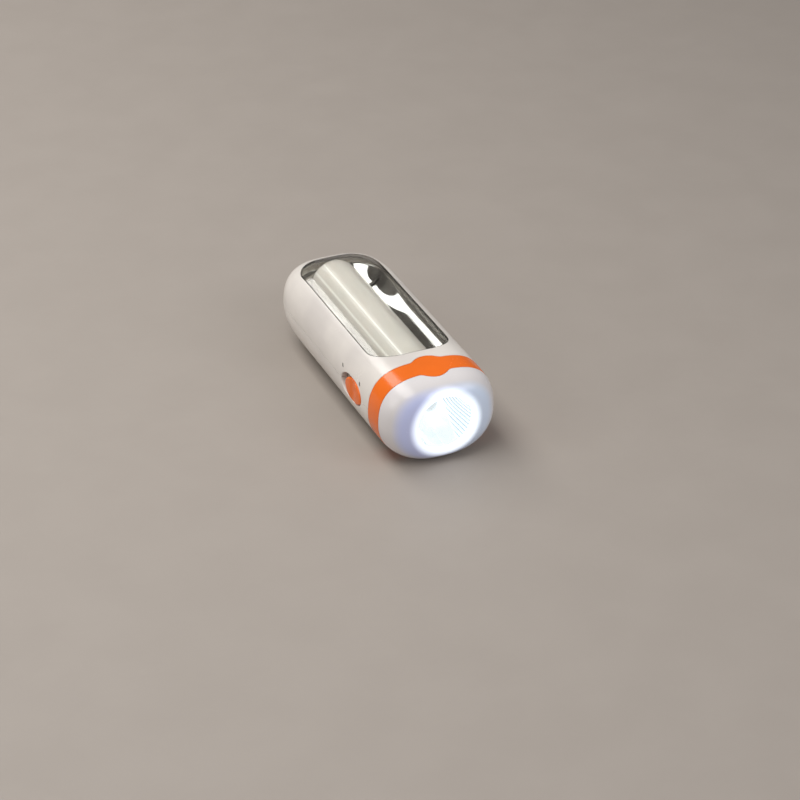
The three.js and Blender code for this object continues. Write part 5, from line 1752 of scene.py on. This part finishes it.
@dataclass
class CrankHandle:
    """Folding crank in its bay: arm, screw, hinge and grip."""

    arm: Pair = (33.4, 37.9)  # inner and outer face
    soft: Pair = (0.3, 0.9)  # inner and outer edge
    hub_radius: float = 8.0
    end_radius: float = 7.5
    boss: float = 1.5
    hinge: Pair = (38.2, 59.0)  # across and along
    ear_radius: float = 4.3
    slot_half: float = 5.0
    slot_end: float = 3.0
    grip: Triple = (4.5, 3.9, 22.0)  # middle radius, end radius, length
    grip_soft: Pair = (0.55, 0.9)  # depth and length of the rounded ends
    rib_depth: float = 0.3
    rib_run: Pair = (2.2, 2.0)  # plain end, then the ridges' rise
    square_half: float = 2.4
    pin_hole: float = 1.3
    spindle_hole: float = 1.8
    spindle_well: Pair = (3.0, 2.7)  # radius and depth
    screw_head: float = 3.4

    def grip_end(self) -> float:
        """Gives the place along of the folded grip's free end."""
        return self.hinge[1] - self.grip[0] - self.grip[2]

    def belt(self, shrink: float, steps: int = 40) -> list[Pair]:
        """Gives the arm's outline.

        Args:
            shrink: How far it is drawn in.
            steps: Steps of the arc at each end.

        Returns:
            The outline's points.
        """
        y, z = CRANK_AXIS
        a, b = self.hub_radius - shrink, self.end_radius - shrink
        run = self.hinge[1] - y
        spread = math.acos((a - b) / run)
        points = []
        for centre, radius, start, end in ((self.hinge[1], b, -spread, spread),
                                           (y, a, spread, FULL_TURN - spread)):
            for i in range(steps + 1):
                angle = start + (end - start) * i / steps
                points.append((centre + radius * math.cos(angle), z + radius * math.sin(angle)))
        return points

    def lever(self) -> None:
        """Models the arm: rounded edges, hub boss, ears, and the slot that the grip folds into."""
        y, z = CRANK_AXIS
        inner, outer = self.arm
        foot, soft = self.soft
        stack = [(inner, self.belt(foot)), (inner + foot, self.belt(0))]
        stack += [(outer - soft + soft * math.sin(angle), self.belt(soft * (1 - math.cos(angle))))
                  for angle in np.linspace(0, QUARTER_TURN, 7)]
        arm = prism(Axis.X, stack)
        reach = self.end_radius
        ears = rod(Axis.Z, self.ear_radius, z - reach, z + reach, self.hinge, 72)
        round_edges(ears, 0.5, 3, lambda a, b: abs(a.z - b.z) < LEVEL)
        top = outer + self.boss
        radius = self.hub_radius - self.boss
        profile = [(0, inner), (radius + 0.8, inner), (radius + 0.8, outer), (radius + 0.25, outer + 0.25),
                   (radius, outer + 0.7), (radius, top - 0.4), (radius - 0.15, top - 0.12),
                   (radius - 0.4, top), (0, top)]
        combine(arm, Joining.ADD, ears, lathe(Axis.X, profile, CRANK_AXIS))
        groove_profile = [(3.95, top - 0.5), (5.15, top - 0.5), (5.3, top + 0.4), (3.8, top + 0.4)]
        groove = ring_of(Axis.X, groove_profile, CRANK_AXIS)
        slot = block((inner - OVERRUN, self.hinge[0] + 2 * self.ear_radius),
                     (self.grip_end() - 1, self.hinge[1] + self.end_radius - self.slot_end),
                     (z - self.slot_half, z + self.slot_half))
        round_edges(slot, 1.2, 4, lambda a, b: abs(a.y - b.y) < LEVEL and abs(a.z - b.z) < LEVEL)
        half = self.square_half
        drive = block((inner - OVERRUN, top + OVERRUN), (y - half, y + half), (z - half, z + half))
        pin = rod(Axis.Z, self.pin_hole, z - 2 * reach, z + 2 * reach, self.hinge, 32)
        combine(arm, Joining.CUT, slot, drive, pin, groove)
        hand_over(arm, "crank_lever", "crank", "white_shell", ARM_WHITE, "crank_arm")

    def fixings(self) -> None:
        """Models the hub's screw, the hinge's pin and the spindle."""
        z = CRANK_AXIS[1]
        face = self.arm[1] + self.boss + GAP
        radius, edge, dome = self.screw_head, 0.7, 0.9
        head = [(0, face - 6), (1, face - 6), (1, face), (radius, face), (radius, face + edge)]
        head += [(radius * math.cos(a), face + edge + dome * math.sin(a))
                 for a in np.linspace(0.2, QUARTER_TURN, 10)]
        screw = lathe(Axis.X, head, CRANK_AXIS, 64)
        combine(screw, Joining.CUT, *cross_recess(Axis.X, face + edge + dome, 1.0, CRANK_AXIS, radius))
        hand_over(screw, "hub_screw_detailed", "crank", "steel", STEEL, "crank_screw")
        reach = self.end_radius + GAP
        rise = [(0.0, 0.8), (1.2, 0.72), (1.6, 0.4), (1.7, 0.0), (1.0, 0.0)]
        profile = [(r, z - reach - h) for r, h in rise] + [(r, z + reach + h) for r, h in reversed(rise)]
        pin = lathe(Axis.Z, profile, self.hinge, 48)
        hand_over(pin, "riveted_pin", "crank", "steel", STEEL, "hinge_pin")
        start, end = self.grip_end() + 2.4, self.hinge[1] - 2.3
        spindle = lathe(Axis.Y, [(0, start - 1), (2.3, start - 1), (2.62, start - 0.85), (2.7, start - 0.6),
                                 (2.7, start), (1.5, start), (1.5, end - 0.3), (1.2, end), (0, end)],
                        (self.hinge[0], z), 48)
        hand_over(spindle, "grip_spindle", "folding_knob", "steel", STEEL, "knob_spindle")

    def knuckle(self) -> None:
        """Models the hinge's barrel, which carries the spindle."""
        z = CRANK_AXIS[1]
        high = self.slot_half - GAP
        profile = [(0, z - high), (3.7, z - high), (4.0, z - high + 0.3), (4.0, z + high - 0.3),
                   (3.7, z + high), (0, z + high)]
        barrel = lathe(Axis.Z, profile, self.hinge, 72)
        combine(barrel, Joining.CUT,
                rod(Axis.Z, self.pin_hole, z - high - 1, z + high + 1, self.hinge, 32),
                rod(Axis.Y, self.spindle_hole, self.hinge[1] - 8, self.hinge[1] - 2, (self.hinge[0], z), 32))
        hand_over(barrel, "knob_knuckle", "folding_knob", "white_shell", ARM_WHITE, "knob_hinge")

    def handle(self, ribs: int = 14, layers: int = 48) -> None:
        """Models the grip: a barrel with shallow flutes that fade out at its ends.

        Args:
            ribs: Number of ridges between the flutes.
            layers: Steps along the grip.
        """
        radius, end_radius, length = self.grip
        start, centre = self.grip_end(), (self.hinge[0], CRANK_AXIS[1])
        flute = (0.5 - 0.5 * np.cos(ribs * even_angles(ribs * 12))) ** 2
        (drop, soft), (plain, run) = self.grip_soft, self.rib_run
        rings = []
        for share in np.linspace(0, 1, layers + 1):
            barrel = end_radius + (radius - end_radius) * math.sin(math.pi * share) ** 0.5
            inwards = min(share, 1 - share) * length
            edge = drop * (1 - math.sqrt(1 - max(0.0, 1 - inwards / soft) ** 2))
            fade = min(1.0, max(0.0, inwards - plain) / run)
            rings.append((barrel - edge - self.rib_depth * fade * flute, start + share * length))
        well_radius, well_depth = self.spindle_well
        grip = combine(fluted(rings, centre), Joining.CUT,
                       rod(Axis.Y, self.spindle_hole, start - 1, start + length + 1, centre, 48),
                       rod(Axis.Y, well_radius, start - 1, start + well_depth, centre, 64))
        hand_over(grip, "fluted_grip", "grip", "orange_shell", ORANGE, "knob_grip")

    def build(self) -> None:
        """Models the crank's pieces."""
        self.lever()
        self.fixings()
        self.knuckle()
        self.handle()


@dataclass
class CaseScrews:
    """The four screws that hold the shells together, driven from below."""

    head: Triple = (2.5, -12.8, -11.0)  # radius, face, underside
    head_edge: float = 0.6
    cross: Pair = (1.0, 2.9)  # depth and length
    shank: Pair = (0.85, 1.1)  # radius between and at the ridges
    tip: float = 8.7
    threads: int = 14

    def build(self, places: Sequence[Pair]) -> None:
        """Models one screw, with its cross and its thread's ridges, and copies it to each place.

        Args:
            places: Place across and along of each screw.
        """
        radius, face, under = self.head
        dome = [(radius * math.sin(a), under - self.head_edge - (under - face - self.head_edge) * math.cos(a))
                for a in np.linspace(0, QUARTER_TURN, 10)]
        root, crest = self.shank
        start, pitch = under + 1.0, (self.tip - 1.5 - under) / self.threads
        profile = [*dome, (radius, under), (root, under)]
        for i in range(self.threads):
            profile += [(root, start + i * pitch), (crest, start + (i + 0.5) * pitch)]
        model = lathe(Axis.Z, [*profile, (root, self.tip - 0.5), (0, self.tip)], (0, 0), 40)
        depth, size = self.cross
        combine(model, Joining.CUT, *cross_recess(Axis.Z, face, depth, (0, 0), size, -1))
        for number, (x, y) in enumerate(places, 1):
            screw = twin(model)
            screw.data.transform(Matrix.Translation((x * MM, y * MM, 0)))
            hand_over(screw, f"cross_screw_{number}", "casing", "steel", STEEL, f"case_screw_{number}")
        bpy.data.objects.remove(model)


@dataclass
class Drivetrain:
    """Gears, generator and electrics inside the casing, which keep their CAD shapes."""

    def build(self) -> None:
        """Dresses every inner node."""
        dress(GEAR_PLASTIC, "gearbox_frame", "compound_gear_a", "compound_gear_b", "crank_gear")
        dress(STEEL, "gear_axle_a", "gear_axle_b", "crank_shaft",
              *(f"gearbox_screw_{number}" for number in (1, 2, 3)))
        dress(BRASS, "rotor_pinion", "crank_bush")
        dress(ZINC, "gearbox_plate", "generator_can", "battery_tab_front", "battery_tab_rear")
        dress(COPPER, "stator_winding")
        dress(MAGNET, "generator_rotor")
        dress(CIRCUIT, "control_board")
        dress(DARK, "storage_capacitor")
        dress(WRAP, "battery_cell")


# Studio


@dataclass
class Studio:
    """Floor, light and camera, set up as in the photograph."""

    camera_turn: float = -23.5
    camera_rise: float = 31.163
    distance: float = 1581.4
    focal_pixels: float = 2625.7
    frame_pixels: float = 800.0
    shift: Pair = (10.69, -29.8)  # of the camera, right and up, in millimetres
    sensor: float = 36.0
    floor_colour: Colour = (163, 155, 147)
    sky_colour: Colour = (198, 197, 198)
    sky_strength: float = 0.56
    seen_colour: Colour = (86, 81, 77)

    def camera(self) -> None:
        """Places the camera at the photograph's view of an 800 by 800 frame."""
        turn, rise = math.radians(self.camera_turn), math.radians(self.camera_rise)
        back = Vector((math.sin(turn) * math.cos(rise), -math.cos(turn) * math.cos(rise), math.sin(rise)))
        right = Vector((math.cos(turn), math.sin(turn), 0))
        up = back.cross(right)
        data = bpy.data.cameras.new("view")
        data.sensor_width = self.sensor
        data.lens = self.focal_pixels * self.sensor / self.frame_pixels
        data.clip_start, data.clip_end = 0.05, 50
        camera = bpy.data.objects.new("view", data)
        camera.location = metres(*(self.distance * back + self.shift[0] * right + self.shift[1] * up))
        camera.rotation_euler = Matrix((right, up, back)).transposed().to_euler()
        bpy.context.scene.collection.objects.link(camera)
        bpy.context.scene.camera = camera

    def lamp(self, name: str, place: Sequence[float], size: Pair, power: float, colour: Colour,
             level: bool = False) -> None:
        """Hangs a soft rectangular lamp that faces the torch.

        Args:
            name: The lamp's name.
            place: Where it hangs, in metres.
            size: Its two sides, in metres.
            power: Its power in watts.
            colour: Its colour.
            level: Whether its long side stays level with the torch's length.
        """
        data = bpy.data.lights.new(name, "AREA")
        data.shape = "RECTANGLE"
        data.size, data.size_y = size
        data.energy = power
        data.color = linear(colour)[:3]
        lamp = bpy.data.objects.new(name, data)
        lamp.location = place
        aim = (Vector((0, 0, 0.03)) - lamp.location).to_track_quat("-Z", "Y").to_euler()
        lamp.rotation_euler = (0, math.atan2(place[0], place[2]), 0) if level else aim
        bpy.context.scene.collection.objects.link(lamp)

    def sky(self) -> None:
        """Makes the world: soft light all round, and a plain grey where metal and clear pieces see it."""
        world = bpy.data.worlds.new("studio")
        bpy.context.scene.world = world
        world.use_nodes = True
        world.node_tree.nodes.clear()
        graph = Graph(world.node_tree)
        path = graph.add("LightPath").outputs
        light = graph.add("Background", {"Color": linear(self.sky_colour), "Strength": self.sky_strength})
        seen = graph.add("Background", {"Color": linear(self.seen_colour), "Strength": 1.0})
        floor = graph.add("Background", {"Color": linear(self.floor_colour), "Strength": 1.0})
        mirror = graph.math("MAXIMUM", path["Is Glossy Ray"], path["Is Transmission Ray"])
        first = graph.add("MixShader", {0: mirror, 1: light.outputs[0], 2: seen.outputs[0]})
        second = graph.add("MixShader", {0: path["Is Camera Ray"], 1: first.outputs[0], 2: floor.outputs[0]})
        graph.add("OutputWorld", {"Surface": second.outputs[0]})

    def floor(self) -> None:
        """Lays the plain pale floor."""
        focus(None)
        bpy.ops.mesh.primitive_plane_add(size=12)
        floor = settle()
        floor.name = "studio_floor"
        finish = Moulded("pale studio floor", self.floor_colour, 0.6, relief=0.0, drift=0.004, wear=0.0)
        floor.data.materials.append(finish.material())

    def build(self) -> None:
        """Sets up camera, floor, lamps and world."""
        self.camera()
        self.floor()
        self.sky()
        self.lamp("long_strip", (-0.36, 0.55, 1.02), (0.5, 2.4), 14.5, (255, 252, 249), level=True)
        self.lamp("front_fill", (0.9, -1.4, 1.1), (1.2, 0.9), 9.0, (250, 250, 255))
        self.lamp("left_fill", (-1.5, -0.1, 0.75), (1.0, 0.9), 4.8, (255, 252, 248))
        bpy.context.scene.view_settings.view_transform = "Standard"


def main() -> None:
    """Builds the torch's sub-assemblies in order."""
    logging.basicConfig(level=logging.INFO, format="%(name)s %(message)s")
    Studio().build()
    housing = Housing()
    for assembly in (housing, AccentBand(), TorchHead(), Lantern(), SlideSwitch(), CrankHandle()):
        assembly.build()
        LOG.info("%s done", type(assembly).__name__)
    CaseScrews().build(housing.screw_places)
    Drivetrain().build()


if __name__ == "__main__":
    main()
